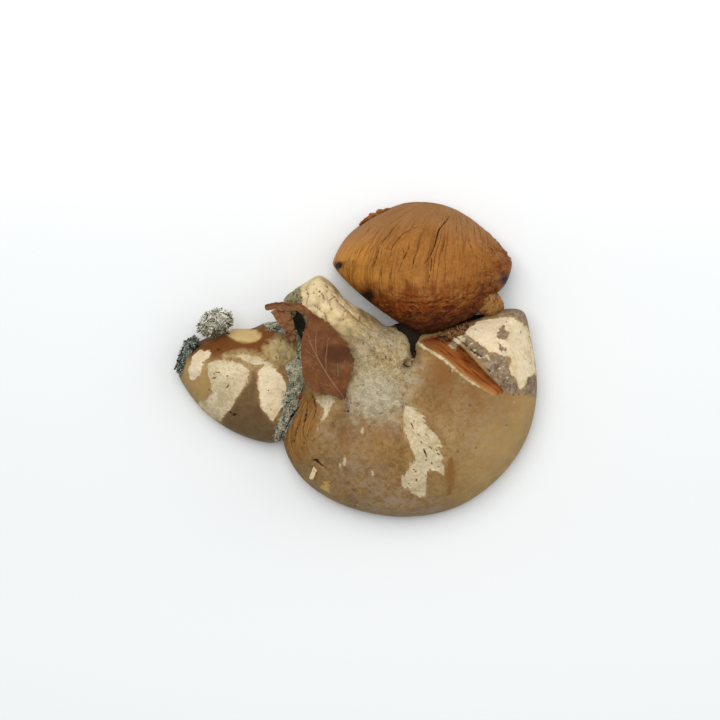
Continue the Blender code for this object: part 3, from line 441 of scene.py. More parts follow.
class Web:
    """A node tree with short calls that add a node and give its output socket."""

    def __init__(self, tree):
        self.tree = tree

    def add(self, kind, output=0, inputs=None, **settings):
        node = self.tree.nodes.new(kind)
        for key, value in settings.items():
            setattr(node, key, value)
        return self.joined(node, output, inputs or {})

    def joined(self, node, output, inputs):
        for key, value in inputs.items():
            if isinstance(value, bpy.types.NodeSocket):
                self.tree.links.new(value, node.inputs[key])
            else:
                if isinstance(value, tuple) and len(value) == 3 and len(node.inputs[key].default_value) == 4:
                    value = (*value, 1.0)
                node.inputs[key].default_value = value
        return node.outputs[output]

    def mark(self, name):
        return self.add("ShaderNodeAttribute", "Fac", attribute_name=name)

    def place(self):
        return self.add("ShaderNodeTexCoord", "Object")

    def fan(self):
        return self.add("ShaderNodeAttribute", "Vector", attribute_name="fan")

    def scaled(self, vector, scale):
        return self.add("ShaderNodeMapping", 0, {"Vector": vector, "Scale": scale})

    def noise(self, vector, scale, detail=3.0, rough=0.55, bend=0.0):
        return self.add("ShaderNodeTexNoise", "Fac", {
            "Vector": vector, "Scale": scale, "Detail": detail, "Roughness": rough, "Distortion": bend})

    def step(self, value, low, high):
        return self.add("ShaderNodeMapRange", "Result", {"Value": value, "From Min": low, "From Max": high},
                        interpolation_type="SMOOTHSTEP")

    def math(self, operation, a, b=0.0, clamp=False):
        return self.add("ShaderNodeMath", 0, {0: a, 1: b}, operation=operation, use_clamp=clamp)

    def times(self, a, b):
        return self.math("MULTIPLY", a, b)

    def mix(self, factor, a, b):
        return self.add("ShaderNodeMix", 2, {0: factor, 6: a, 7: b}, data_type="RGBA")

    def glaze(self, below, mask, strength, above):
        """A colour laid over another where a mask is 1, at a given strength."""
        return self.mix(self.times(mask, strength), below, above)

    def use(self, name, output, inputs):
        """A shader node group placed in this tree."""
        node = self.tree.nodes.new("ShaderNodeGroup")
        node.node_tree = bpy.data.node_groups[name]
        return self.joined(node, output, inputs)


def new_group(name, inputs, outputs):
    """An empty shader node group with its sockets, its web and its input node."""
    group = bpy.data.node_groups.new(name, "ShaderNodeTree")
    kinds = {"value": "NodeSocketFloat", "colour": "NodeSocketColor", "vector": "NodeSocketVector"}
    for socket, kind in inputs:
        group.interface.new_socket(socket, in_out="INPUT", socket_type=kinds[kind])
    for socket, kind in outputs:
        group.interface.new_socket(socket, in_out="OUTPUT", socket_type=kinds[kind])
    source = group.nodes.new("NodeGroupInput")
    sink = group.nodes.new("NodeGroupOutput")
    return Web(group), source.outputs, sink.inputs


def make_groups():
    """The effects that more than one material uses."""
    web, given, out = new_group(
        "Mottle", [("Vector", "vector"), ("Colour", "colour"), ("Deep", "colour"), ("Light", "colour"),
                   ("Broad", "value"), ("Fine", "value"), ("Contrast", "value")], [("Colour", "colour")])
    broad = web.noise(given["Vector"], given["Broad"], 4.0, 0.6, 0.4)
    fine = web.noise(given["Vector"], given["Fine"], 5.0, 0.65)
    deep = web.times(web.step(broad, 0.50, 0.32), given["Contrast"])
    light = web.times(web.step(broad, 0.50, 0.70), given["Contrast"])
    colour = web.mix(light, web.mix(deep, given["Colour"], given["Deep"]), given["Light"])
    down = web.times(web.step(fine, 0.50, 0.34), given["Contrast"])
    up = web.times(web.step(fine, 0.51, 0.67), given["Contrast"])
    colour = web.glaze(colour, down, 0.7, given["Deep"])
    colour = web.glaze(colour, up, 0.55, given["Light"])
    web.tree.links.new(colour, out["Colour"])

    web, given, out = new_group(
        "Ragged mask", [("Vector", "vector"), ("Inside", "value"), ("Scale", "value"),
                        ("Raggedness", "value"), ("Softness", "value")], [("Mask", "value")])
    rough = web.math("SUBTRACT", web.noise(given["Vector"], given["Scale"], 6.0, 0.7, 0.3), 0.5)
    edge = web.math("ADD", given["Inside"], web.times(rough, given["Raggedness"]))
    edge = web.math("ADD", web.math("DIVIDE", edge, given["Softness"]), 0.5, clamp=True)
    web.tree.links.new(edge, out["Mask"])

    web, given, out = new_group(
        "Specks", [("Vector", "vector"), ("Scale", "value"), ("Size", "value"), ("Share", "value")],
        [("Mask", "value")])
    cell = web.tree.nodes.new("ShaderNodeTexVoronoi")
    web.tree.links.new(given["Vector"], cell.inputs["Vector"])
    web.tree.links.new(given["Scale"], cell.inputs["Scale"])
    red = web.add("ShaderNodeSeparateColor", 0, {0: cell.outputs["Color"]})
    chosen = web.math("LESS_THAN", red, given["Share"])
    dot = web.math("LESS_THAN", cell.outputs["Distance"], given["Size"])
    web.tree.links.new(web.times(chosen, dot), out["Mask"])

    web, given, out = new_group(
        "Crack lines", [("Vector", "vector"), ("Scale", "value"), ("Width", "value"), ("Bend", "value")],
        [("Mask", "value")])
    field = web.noise(given["Vector"], given["Scale"], 3.0, 0.5, given["Bend"])
    off = web.math("DIVIDE", web.math("ABSOLUTE", web.math("SUBTRACT", field, 0.5)), given["Width"])
    web.tree.links.new(web.step(off, 1.0, 0.25), out["Mask"])

    web, given, out = new_group(
        "Skin height", [("Vector", "vector"), ("Pores", "value"), ("Grit", "value")], [("Height", "value")])
    pores = web.noise(given["Vector"], given["Pores"], 4.0, 0.6)
    grit = web.noise(given["Vector"], given["Grit"], 3.0, 0.7)
    web.tree.links.new(web.math("ADD", web.times(pores, 0.65), web.times(grit, 0.35)),
                       out["Height"])


def new_material(name, colour, roughness, height, strength=0.4):
    """A material from the functions that give its colour and its height."""
    made = bpy.data.materials.new(name)
    made.use_nodes = True
    shader = made.node_tree.nodes["Principled BSDF"]
    web = Web(made.node_tree)
    made.node_tree.links.new(colour(web), shader.inputs["Base Color"])
    shader.inputs["Roughness"].default_value = roughness
    shader.inputs["Specular IOR Level"].default_value = 0.1
    normal = web.add("ShaderNodeBump", 0, {"Height": height(web), "Strength": strength, "Distance": 0.0003})
    made.node_tree.links.new(normal, shader.inputs["Normal"])


def skin_colour(web):
    look = bpy.context.scene.mushroom_colours
    at, fan = web.place(), web.fan()
    strand = web.add("ShaderNodeAttribute", "Vector", attribute_name="strand")

    def mottled(colour, deep, light, broad, fine, contrast):
        return web.use("Mottle", 0, {"Vector": at, "Colour": colour, "Deep": deep, "Light": light,
                                     "Broad": broad, "Fine": fine, "Contrast": contrast})

    def over(below, above, mark, scale, raggedness, softness, strength=1.0, shift=0.0):
        inside = web.math("ADD", web.mark(mark), shift)
        mask = web.use("Ragged mask", 0, {"Vector": at, "Inside": inside, "Scale": scale,
                                          "Raggedness": raggedness, "Softness": softness})
        return web.glaze(below, mask, strength, above)

    colour = mottled(tuple(look.skin), (0.195, 0.105, 0.033), (0.385, 0.243, 0.098), 90.0, 520.0, 1.0)
    long = web.noise(web.scaled(fan, (1.0, 0.16, 1.0)), 0.55, 4.0, 0.6)
    colour = web.glaze(colour, web.step(long, 0.52, 0.72), 0.35, (0.355, 0.225, 0.095))
    hairs = web.noise(web.scaled(fan, (1.0, 0.09, 1.0)), 2.6, 3.0, 0.6)
    colour = web.glaze(colour, web.step(hairs, 0.46, 0.28), 0.35, (0.175, 0.100, 0.042))
    fleck = web.noise(at, 1500.0, 3.0, 0.6)
    colour = web.glaze(colour, web.step(fleck, 0.46, 0.34), 0.30, (0.150, 0.082, 0.028))
    colour = web.glaze(colour, web.step(fleck, 0.56, 0.68), 0.30, (0.420, 0.285, 0.135))
    colour = web.glaze(colour, web.mark("bright"), 0.8, (0.465, 0.300, 0.110))
    colour = web.glaze(colour, web.mark("umber"), 0.8, (0.118, 0.066, 0.026))
    warm = web.times(web.mark("warm"), web.step(web.noise(at, 160.0, 4.0, 0.6), 0.22, 0.55))
    colour = web.glaze(colour, warm, 0.85, (0.235, 0.093, 0.020))
    rusty = web.times(web.mark("rust"), web.step(web.noise(at, 160.0, 4.0, 0.6), 0.12, 0.42))
    colour = web.glaze(colour, rusty, 0.9, (0.150, 0.045, 0.008))
    bloom = web.times(web.mark("bloom"), web.step(web.noise(at, 260.0, 5.0, 0.7), 0.34, 0.66))
    colour = web.glaze(colour, bloom, 0.85, (0.325, 0.255, 0.180))
    grey_edge = web.times(web.mark("edge"), web.step(web.noise(at, 210.0, 5.0, 0.65), 0.36, 0.62))
    colour = web.glaze(colour, grey_edge, 0.55, (0.215, 0.168, 0.098))
    wood = mottled(tuple(look.wood), (0.270, 0.170, 0.065), (0.56, 0.42, 0.21), 150.0, 700.0, 0.7)
    cream = mottled((0.745, 0.580, 0.330), (0.56, 0.400, 0.175), (0.80, 0.66, 0.43), 150.0, 700.0, 0.6)
    wood = web.glaze(wood, web.mark("tip"), 0.9, cream)
    # Darker brown along the creases, partly the base's own colour and partly painted shade in them.
    wood = web.glaze(wood, web.step(web.mark("crease"), 0.15, 0.8), 0.75, (0.150, 0.085, 0.030))
    grey = web.step(web.noise(at, 120.0, 4.0, 0.6), 0.50, 0.68)
    wood = web.glaze(wood, grey, 0.55, (0.355, 0.290, 0.165))
    colour = over(colour, wood, "wood", 500.0, 3.5, 3.0)
    fuzz = mottled(tuple(look.fuzz), (0.225, 0.150, 0.062), (0.55, 0.47, 0.33), 260.0, 1300.0, 1.0)
    fuzz = web.mix(web.step(web.noise(at, 800.0, 2.0, 0.5), 0.38, 0.28), fuzz, (0.11, 0.065, 0.025))
    felt = mottled((0.445, 0.380, 0.255), (0.30, 0.24, 0.14), (0.60, 0.54, 0.41), 200.0, 1100.0, 0.8)
    fuzz = web.mix(web.step(web.mark("felt"), 0.15, 0.75), fuzz, felt)
    gritty = mottled((0.400, 0.292, 0.132), (0.115, 0.068, 0.026), (0.62, 0.50, 0.29), 520.0, 1500.0, 1.0)
    fuzz = web.mix(web.step(web.mark("grit"), 0.2, 0.8), fuzz, gritty)
    colour = over(colour, fuzz, "fuzz", 240.0, 20.0, 9.0, 0.92)
    streak = web.noise(web.scaled(strand, (1.0, 0.07, 1.0)), 1.9, 5.0, 0.65, 0.3)
    rust = web.mix(web.step(streak, 0.36, 0.64), (0.225, 0.100, 0.023), (0.335, 0.172, 0.050))
    rust = web.glaze(rust, web.step(web.mark("groove"), 0.2, 0.9), 0.35, (0.120, 0.045, 0.011))
    slits = web.use("Crack lines", 0, {"Vector": web.scaled(strand, (1.0, 0.05, 1.0)), "Scale": 0.45,
                                       "Width": 0.009, "Bend": 0.15})
    rust = web.glaze(rust, slits, 0.75, (0.060, 0.020, 0.007))
    colour = over(colour, rust, "fissure", 400.0, 4.5, 3.5)
    crust = mottled((0.245, 0.172, 0.108), (0.105, 0.066, 0.038), (0.42, 0.330, 0.235), 300.0, 900.0, 0.85)
    colour = over(colour, crust, "crust", 420.0, 4.0, 1.6, 0.95)
    flesh = web.mix(web.step(streak, 0.36, 0.62), tuple(look.flesh), (0.335, 0.108, 0.024))
    flesh = web.mix(web.step(streak, 0.47, 0.30), flesh, (0.075, 0.016, 0.004))
    golden = web.step(web.add("ShaderNodeSeparateXYZ", 0, {0: strand}), 2.6, 0.4)
    flesh = web.glaze(flesh, golden, 0.75, (0.420, 0.215, 0.060))
    far_end = web.step(web.add("ShaderNodeSeparateXYZ", 1, {0: strand}), 11.0, 3.0)
    flesh = web.glaze(flesh, far_end, 0.6, (0.120, 0.034, 0.010))
    colour = over(colour, flesh, "flesh", 900.0, 0.9, 0.25)
    peel = mottled(tuple(look.peel), (0.43, 0.320, 0.150), (0.70, 0.590, 0.395), 160.0, 800.0, 1.0)
    peel = web.mix(web.times(web.mark("pale"), 0.8), peel,
                   mottled((0.77, 0.630, 0.42), (0.63, 0.48, 0.26), (0.84, 0.72, 0.53), 160.0, 800.0, 0.8))
    slit = web.noise(web.scaled(fan, (1.0, 0.20, 1.0)), 2.2, 3.0, 0.6)
    peel = web.glaze(peel, web.step(slit, 0.38, 0.28), 0.7, (0.27, 0.185, 0.095))
    colour = over(colour, (0.40, 0.275, 0.130), "peel", 1100.0, 1.0, 0.6, 0.55, 0.4)
    colour = over(colour, peel, "peel", 1100.0, 0.7, 0.20)
    mould = mottled((0.240, 0.235, 0.165), (0.028, 0.052, 0.042), (0.52, 0.50, 0.40), 300.0, 1300.0, 1.0)
    colour = over(colour, mould, "mould", 260.0, 5.0, 2.0, 0.95)
    colour = web.glaze(colour, web.mark("yellow"), 0.85, (0.56, 0.370, 0.120))
    dots = web.use("Specks", 0, {"Vector": at, "Scale": 380.0, "Size": 0.17, "Share": 0.16})
    colour = web.glaze(colour, dots, 0.6, (0.07, 0.04, 0.02))
    crumbs = web.use("Specks", 0, {"Vector": web.scaled(at, (1.0, 0.6, 1.0)), "Scale": 300.0, "Size": 0.15,
                                   "Share": 0.08})
    colour = web.glaze(colour, crumbs, 0.5, (0.52, 0.40, 0.26))
    # Painted shade: near black along the hollow lines.
    colour = web.mix(web.step(web.mark("shade"), 0.15, 0.75), colour, (0.012, 0.011, 0.006))
    return web.mix(web.step(web.mark("dark"), 0.22, 0.75), colour, (0.034, 0.019, 0.010))


def skin_height(web):
    at = web.place()
    fine = web.use("Skin height", 0, {"Vector": at, "Pores": 900.0, "Grit": 2600.0})
    rough = web.times(web.step(web.mark("fuzz"), -2.0, 3.0), web.noise(at, 1700.0, 4.0, 0.7))
    return web.math("ADD", fine, web.times(rough, 1.6))


def dried_colour(web):
    look = bpy.context.scene.mushroom_colours
    at, fan = web.place(), web.fan()
    colour = web.use("Mottle", 0, {"Vector": at, "Colour": tuple(look.dried), "Deep": (0.255, 0.088, 0.013),
                                   "Light": (0.415, 0.175, 0.037), "Broad": 90.0, "Fine": 700.0,
                                   "Contrast": 0.8})
    colour = web.glaze(colour, web.mark("golden"), 0.85, (0.520, 0.222, 0.038))
    colour = web.glaze(colour, web.mark("crown"), 0.75, (0.290, 0.138, 0.048))
    patchy = web.times(web.math("SUBTRACT", web.noise(at, 210.0, 5.0, 0.65), 0.5), 2.4)
    red = web.step(web.math("ADD", web.mark("low"), patchy), 0.20, 1.10)
    colour = web.glaze(colour, red, 0.94, (0.150, 0.028, 0.003))
    colour = web.glaze(colour, web.mark("grey_rim"), 0.7, (0.27, 0.15, 0.10))
    along = web.noise(web.scaled(fan, (1.0, 0.10, 1.0)), 1.1, 5.0, 0.65, 0.3)
    colour = web.glaze(colour, web.step(along, 0.47, 0.34), 0.32, (0.180, 0.058, 0.009))
    colour = web.glaze(colour, web.step(along, 0.54, 0.68), 0.35, (0.41, 0.180, 0.045))
    folds = web.use("Crack lines", 0, {"Vector": web.scaled(fan, (1.0, 0.05, 1.0)), "Scale": 0.26,
                                       "Width": 0.0065, "Bend": 0.08})
    fine = web.use("Crack lines", 0, {"Vector": web.scaled(fan, (1.0, 0.07, 1.0)), "Scale": 0.62,
                                      "Width": 0.010, "Bend": 0.1})
    here = web.step(web.noise(at, 130.0, 2.0, 0.5), 0.40, 0.60)
    lines = web.math("MAXIMUM", folds, web.times(web.times(fine, here), 0.6))
    lines = web.times(lines, web.step(web.mark("near"), 0.9, 0.2))
    colour = web.glaze(colour, lines, 0.7, (0.110, 0.030, 0.006))
    colour = web.glaze(colour, web.mark("crest"), 0.45, (0.24, 0.055, 0.004))
    # Painted shade in the grooves, near black where they run near the base.
    groove = web.step(web.mark("groove"), 0.3, 1.0)
    colour = web.glaze(colour, groove, 0.45, (0.080, 0.020, 0.004))
    colour = web.glaze(colour, web.times(groove, web.mark("near")), 0.6, (0.045, 0.010, 0.003))
    # Painted shade: near black where the cap hangs low over the base and in the dents by its rim.
    colour = web.mix(web.mark("burnt"), colour, (0.024, 0.007, 0.004))
    return web.mix(web.step(web.mark("dark"), 0.2, 0.7), colour, (0.030, 0.010, 0.004))


def dried_height(web):
    at, fan = web.place(), web.fan()
    along = web.noise(web.scaled(fan, (1.0, 0.12, 1.0)), 1.6, 5.0, 0.65, 0.3)
    return web.math("ADD", along, web.times(web.noise(at, 1100.0, 4.0, 0.65), 0.7))


def gill_colour(web):
    at, fan = web.place(), web.fan()
    colour = web.use("Mottle", 0, {"Vector": at, "Colour": (0.34, 0.20, 0.085),
                                   "Deep": (0.17, 0.085, 0.032),
                                   "Light": (0.50, 0.345, 0.18), "Broad": 90.0, "Fine": 700.0,
                                   "Contrast": 0.8})
    blades = web.noise(web.scaled(fan, (1.0, 0.04, 1.0)), 2.6, 3.0, 0.6)
    colour = web.glaze(colour, web.step(blades, 0.48, 0.30), 0.6, (0.13, 0.062, 0.024))
    # Painted shade: darker deep between the gills.
    return web.mix(web.times(web.mark("valley"), 0.7), colour, (0.10, 0.045, 0.018))


def plain_height(web):
    return web.use("Skin height", 0, {"Vector": web.place(), "Pores": 900.0, "Grit": 2600.0})


def leaf_colour(web):
    look = bpy.context.scene.mushroom_colours
    at = web.place()
    colour = web.use("Mottle", 0, {"Vector": at, "Colour": tuple(look.leaf), "Deep": (0.098, 0.034, 0.012),
                                   "Light": (0.225, 0.092, 0.034), "Broad": 170.0, "Fine": 1300.0,
                                   "Contrast": 0.8})
    net = web.add("ShaderNodeTexVoronoi", "Distance", {"Vector": at, "Scale": 1500.0},
                  feature="DISTANCE_TO_EDGE")
    colour = web.glaze(colour, web.step(net, 0.10, 0.0), 0.15, (0.25, 0.12, 0.05))
    colour = web.mix(web.mark("pale"), colour, (0.285, 0.128, 0.054))
    colour = web.glaze(colour, web.mark("shade"), 0.85, (0.068, 0.022, 0.008))
    colour = web.glaze(colour, web.step(web.mark("vein"), 0.25, 0.9), 0.6, (0.33, 0.185, 0.105))
    return web.mix(web.step(web.mark("tear"), 0.3, 0.7), colour, (0.17, 0.135, 0.07))


def tinted(pale, deep, light):
    def colour(web):
        at = web.place()
        tint = web.use("Mottle", 0, {"Vector": at, "Colour": pale, "Deep": deep, "Light": light,
                                     "Broad": 450.0, "Fine": 2200.0, "Contrast": 0.8})
        tint = web.mix(web.step(web.mark("shade"), 0.60, 1.0), tint, light)
        return web.mix(web.step(web.mark("shade"), 0.20, 0.10), tint, deep)
    return colour


def make_materials():
    new_material("mushroom skin", skin_colour, 0.72, skin_height, 0.5)
    new_material("shrivelled skin", dried_colour, 0.55, dried_height, 0.55)
    new_material("gills", gill_colour, 0.8, plain_height)
    new_material("dead leaf", leaf_colour, 0.62, plain_height, 0.5)
    for name, pale, deep, light, roughness, strength in TINTED_FINISHES:
        new_material(name, tinted(pale, deep, light), roughness, plain_height, strength)


# Meshes

def mesh_from(bm, name):
    mesh = bpy.data.meshes.new(name)
    bm.to_mesh(mesh)
    bm.free()
    return mesh


def globe(name, steps, top_rings, under_rings):
    """A fine globe rolled up from a grid, as a mesh, with the ring and the step of each vertex."""
    rings = top_rings + under_rings
    bm = bmesh.new()
    bmesh.ops.create_grid(bm, x_segments=steps, y_segments=rings, size=1.0)
    for vertex in bm.verts:
        turn, tilt = (vertex.co.x + 1) * math.pi, (1 - vertex.co.y) / 2 * math.pi
        vertex.co = (math.sin(tilt) * math.cos(turn), math.sin(tilt) * math.sin(turn), math.cos(tilt))
    bmesh.ops.remove_doubles(bm, verts=bm.verts, dist=0.00001)
    mesh = mesh_from(bm, name)
    place = vertex_places(mesh)
    ring = np.rint(np.arccos(np.clip(place[:, 2], -1, 1)) / math.pi * rings).astype(int)
    step = np.rint(np.arctan2(place[:, 1], place[:, 0]) / (2 * math.pi) * steps).astype(int) % steps
    return mesh, ring, step


def vertex_places(mesh):
    places = np.empty(len(mesh.vertices) * 3, np.float32)
    mesh.vertices.foreach_get("co", places)
    return places.reshape(-1, 3).astype(float)


def set_places(mesh, places):
    mesh.vertices.foreach_set("co", places.astype(np.float32).ravel())
    mesh.update()


def vertex_normals(mesh):
    normals = np.empty(len(mesh.vertices) * 3, np.float32)
    mesh.vertex_normals.foreach_get("vector", normals)
    return normals.reshape(-1, 3).astype(float)


def keep_marks(mesh, marks):
    """Stores masks and directions on the vertices, for the materials."""
    for name, values in marks.items():
        kind, field = ("FLOAT_VECTOR", "vector") if values.ndim == 2 else ("FLOAT", "value")
        mesh.attributes.new(name, kind, "POINT").data.foreach_set(field, values.astype(np.float32).ravel())


def piece_of(name, mesh, materials, slot, *nodes):
    """Puts a finished mesh into the scene, riding on the cluster."""
    for finish in materials:
        mesh.materials.append(bpy.data.materials[finish])
    mesh.shade_smooth()
    piece = bpy.data.objects.new(name, mesh)
    bpy.context.scene.collection.objects.link(piece)
    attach(piece, "root")
    for node in nodes:
        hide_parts(node)
    return piece


def cap_mesh(name, edge, top_hub, gill_hub, steps, top_rings, under_rings, shape):
    """A cap's closed body with its skin above and its gills below, and the numbers that place each vertex."""
    mesh, ring, step = globe(name, steps, top_rings, under_rings)
    upper = ring <= top_rings
    t = np.where(upper, ring / top_rings, (top_rings + under_rings - ring) / under_rings)
    u = np.where(upper, 1 - (1 - t) ** 1.4, np.sin(t * math.pi / 2) ** 0.8)
    rim = even_points(smooth_loop(edge, pieces=12), steps)[step]
    hub = np.where(upper[:, None], top_hub, gill_hub)
    xy = hub + (rim - hub) * u[:, None]
    turn = step / steps
    z = np.maximum(shape(xy, u, upper, turn), FLOOR)
    set_places(mesh, np.column_stack([xy, z]))
    gilled = ~upper & (u < 0.88)
    mesh.polygons.foreach_set("material_index",
                              [int(all(gilled[v] for v in p.vertices)) for p in mesh.polygons])
    return mesh, xy, u, upper, turn


def push_out(mesh, places, relief):
    """Moves each vertex along its normal by its relief in millimetres."""
    set_places(mesh, places + vertex_normals(mesh) * relief[:, None] / 1000)


def fan_of(xy, hub):
    """Distance round and out from a hub, in millimetres, so that a pattern can follow the fibres."""
    away = (xy - hub) * 1000
    turn = np.arctan2(-away[:, 0], -away[:, 1])
    return np.column_stack([turn * FAN_RADIUS, np.hypot(*away.T), np.zeros(len(xy))])


# The large cap and the base

def large_cap_rim(xy):
    """Height of the large cap's rim, which rises towards the base."""
    return 0.0085 + 0.075 * xy[:, 1]


def large_cap_skin(xy):
    cap = 0.0265 * swell(CAP_SHOULDER, xy, 0.036)
    base = swell(BASE_LOBE, xy, 0.012)
    gap, share = distance_to(BASE_RIDGE, xy)
    ridge = 0.0042 * np.exp(-((gap / 0.0070) ** 2)) * (1 - 0.4 * share)
    lumps = 0.0007 * np.sin(math.tau / 0.0085 * xy[:, 0]) * np.sin(math.tau / 0.0085 * xy[:, 1])
    base = (0.0205 + ridge + lumps) * base
    crown = blend_of(cap, base, np.clip(np.maximum(cap, base), 1e-6, 0.0060))
    gap, _ = distance_to(CREASE, xy)
    return large_cap_rim(xy) + np.maximum(crown - 0.0060 * np.exp(-((gap / 0.0022) ** 2)), 0)


def split_depth(xy):
    """How far the split sinks below the skin, from its lip to the foot of its far wall."""
    lip_line = smooth_loop(SPLIT_LIP, closed=False)
    wall_line = smooth_loop(SPLIT_WALL, closed=False)
    loop = np.vstack([lip_line, wall_line[::-1]])
    depth = np.zeros(len(xy))
    near = inside(loop, xy)
    to_lip, share = distance_to(lip_line, xy[near])
    to_wall, _ = distance_to(wall_line, xy[near])
    across = to_lip / np.maximum(to_lip + to_wall, 1e-6)
    ends = np.sin(np.clip(share * 0.92 + 0.06, 0, 1) * math.pi) ** 0.5
    depth[near] = 0.0070 * across**0.8 * ends * smooth_step(0.0, 0.0005, to_wall)
    return depth


def large_cap_shape(xy, u, upper, turn):
    to_base = smooth_step(-0.002, 0.010, xy[:, 1] - 0.3 * xy[:, 0]) * smooth_step(0.028, 0.016, xy[:, 0])
    roll = CAP_ROLL + 0.0050 * to_base
    z = np.empty(len(xy))
    z[upper] = large_cap_skin(xy[upper]) - split_depth(xy[upper])
    low = ~upper
    under = (large_cap_rim(xy) - roll * to_base * smooth_step(1.0, 0.9, u)) * smooth_step(0.0, 0.9, u)
    under += 0.0040 * smooth_step(0.35, 0.0, u)
    under += (0.0150 * vault(u) - roll * lip(u)
              + 0.0011 * gill_wave(turn, LARGE_CAP_GILLS, u)) * (1 - to_base)
    z[low] = under[low]
    return z


def thin(field, width):
    """1 along the lines where a field passes 0, so that noise turns into a net of fine grooves."""
    return np.exp(-((field / width) ** 2))


def wander_of(fine, jag):
    """Small sideways shifts that make a drawn line uneven."""
    return 0.00030 * np.column_stack([fine, -fine]) + 0.00018 * np.column_stack([jag, jag])


def large_cap_marks(places, upper):
    n, xy = len(places), places[:, :2]
    fine = grain(places, 0.0035, 4, 1)
    jag = grain(places, 0.0011, 3, 14)
    fan = fan_of(xy, LARGE_CAP_TOP)
    rays = grain(np.column_stack([fan[:, 0] * 1.1, fan[:, 1] * 0.20]) / 1000, 0.0013, 3, 2)
    peel = patch(PEEL_MIDDLE, xy) + 1.3 * rays + 0.4 * jag
    lobe = patch(PEEL_LOBE, xy) + 0.8 * fine + 0.45 * jag
    for island in LOBE_ISLANDS:
        lobe = np.minimum(lobe, -patch(island, xy) - 1.0 * fine - 0.7 * jag)
    peel = np.maximum(peel, lobe)
    peel = np.maximum(peel, patch(PEEL_BY_LEAF, xy) + 0.6 * rays + 0.4 * jag)
    peel = np.maximum(peel, patch(PEEL_CHIP, xy) + 0.6 * fine + 0.5 * jag)
    for fleck in FLECKS:
        peel = np.maximum(peel, patch(fleck, xy) - 0.15 + 0.3 * jag)
    lip_gap, lip_share = distance_to(smooth_loop(SPLIT_LIP, closed=False), xy)
    edge_band = 0.48 - lip_gap * 1000 - 0.6 * smooth_step(0.72, 0.95, lip_share) + 0.4 * fine + 0.3 * jag
    peel = np.maximum(peel, edge_band)
    shreds = np.minimum(patch(SKIN_STRIP, xy) - 0.4,
                        2.4 * grain(places * np.array([1.0, 1.6, 1.0]), 0.0036, 3, 19) - 1.5)
    peel = np.maximum(peel, shreds)
    flesh = patch(np.vstack([SPLIT_LIP, SPLIT_WALL[::-1]]), xy)
    outline = smooth_loop(LARGE_CAP_EDGE)
    edge_gap, _ = distance_to(np.vstack([outline, outline[:1]]), xy)
    fissure = patch(FISSURE_ZONE, xy)
    in_fissure = fissure > -4
    strand = np.column_stack([np.where(in_fissure, edge_gap * 1000, lip_gap * 1000),
                              np.where(in_fissure, xy[:, 1] * 1000, lip_share * 34), np.zeros(n)])
    crust = patch(SKIN_STRIP, xy)
    for edge in GREY_EDGES:
        crust = np.maximum(crust, patch(edge, xy))
    crust = np.maximum(crust, patch(MOSSY_END, xy) - 0.5 + 1.6 * fine)
    for island in LOBE_ISLANDS:
        crust = np.maximum(crust, patch(island, xy) + 1.2)
    wander = wander_of(fine, jag)
    wood = patch(WOOD_ZONE, xy)
    creases = strokes(BASE_CREASES, xy + 1.6 * wander)
    fold = grain(places * np.array([1.0, 1.0, 0.6]), 0.0085, 2, 15)
    billow = thin(fold, 0.10) * smooth_step(-0.5, 0.2, fine) * smooth_step(0, 2, wood)
    marks = {
        "peel": peel, "flesh": flesh + 0.4 * jag, "crust": crust + 0.5 * fine, "wood": wood,
             "fissure": fissure + fine,
        "fuzz": patch(FUZZ_ZONE, xy) + 1.5 * fine,
        "warm": np.clip(spots(WARM_SPOTS, xy) + 1.3 * strokes(WARM_LINES, xy + wander), 0, 1.1),
        "dark": strokes(DARK_LINES, xy + wander) * smooth_step(-0.9, 0.2, jag),
        "felt": spots(FELT_SPOTS, xy), "grit": spots(GRIT_SPOTS, xy), "rust": np.zeros(n),
        "tip": smooth_step(10.0, 20.0, xy[:, 1] * 1000) * smooth_step(3.0, -4.0, xy[:, 0] * 1000),
        "bloom": spots(BLOOM_SPOTS, xy), "umber": spots(UMBER_SPOTS, xy),
        "shade": strokes(HOLLOW_SHADE_LINES, xy + 1.5 * wander), "mould": patch(MOULD_ZONE, xy) + fine,
        "crease": np.maximum(creases, 0.35 * billow), "fold": fold,
        "yellow": smooth_step(-0.3, 0.5, patch(YELLOW_SPOT, xy) - 0.1 + 1.4 * fine + 0.9 * jag),
        "pale": smooth_step(-1.0, 1.0, patch(PEEL_LOBE, xy)),
        "edge": smooth_step(7.0, 0.0, edge_gap * 1000),
        "bright": smooth_step(0.030, 0.068, xy[:, 0] - 0.3 * xy[:, 1] - 0.012), "fan": fan,
             "strand": strand,
    }
    marks["peel"][~upper] = -5
    return marks, fine, jag


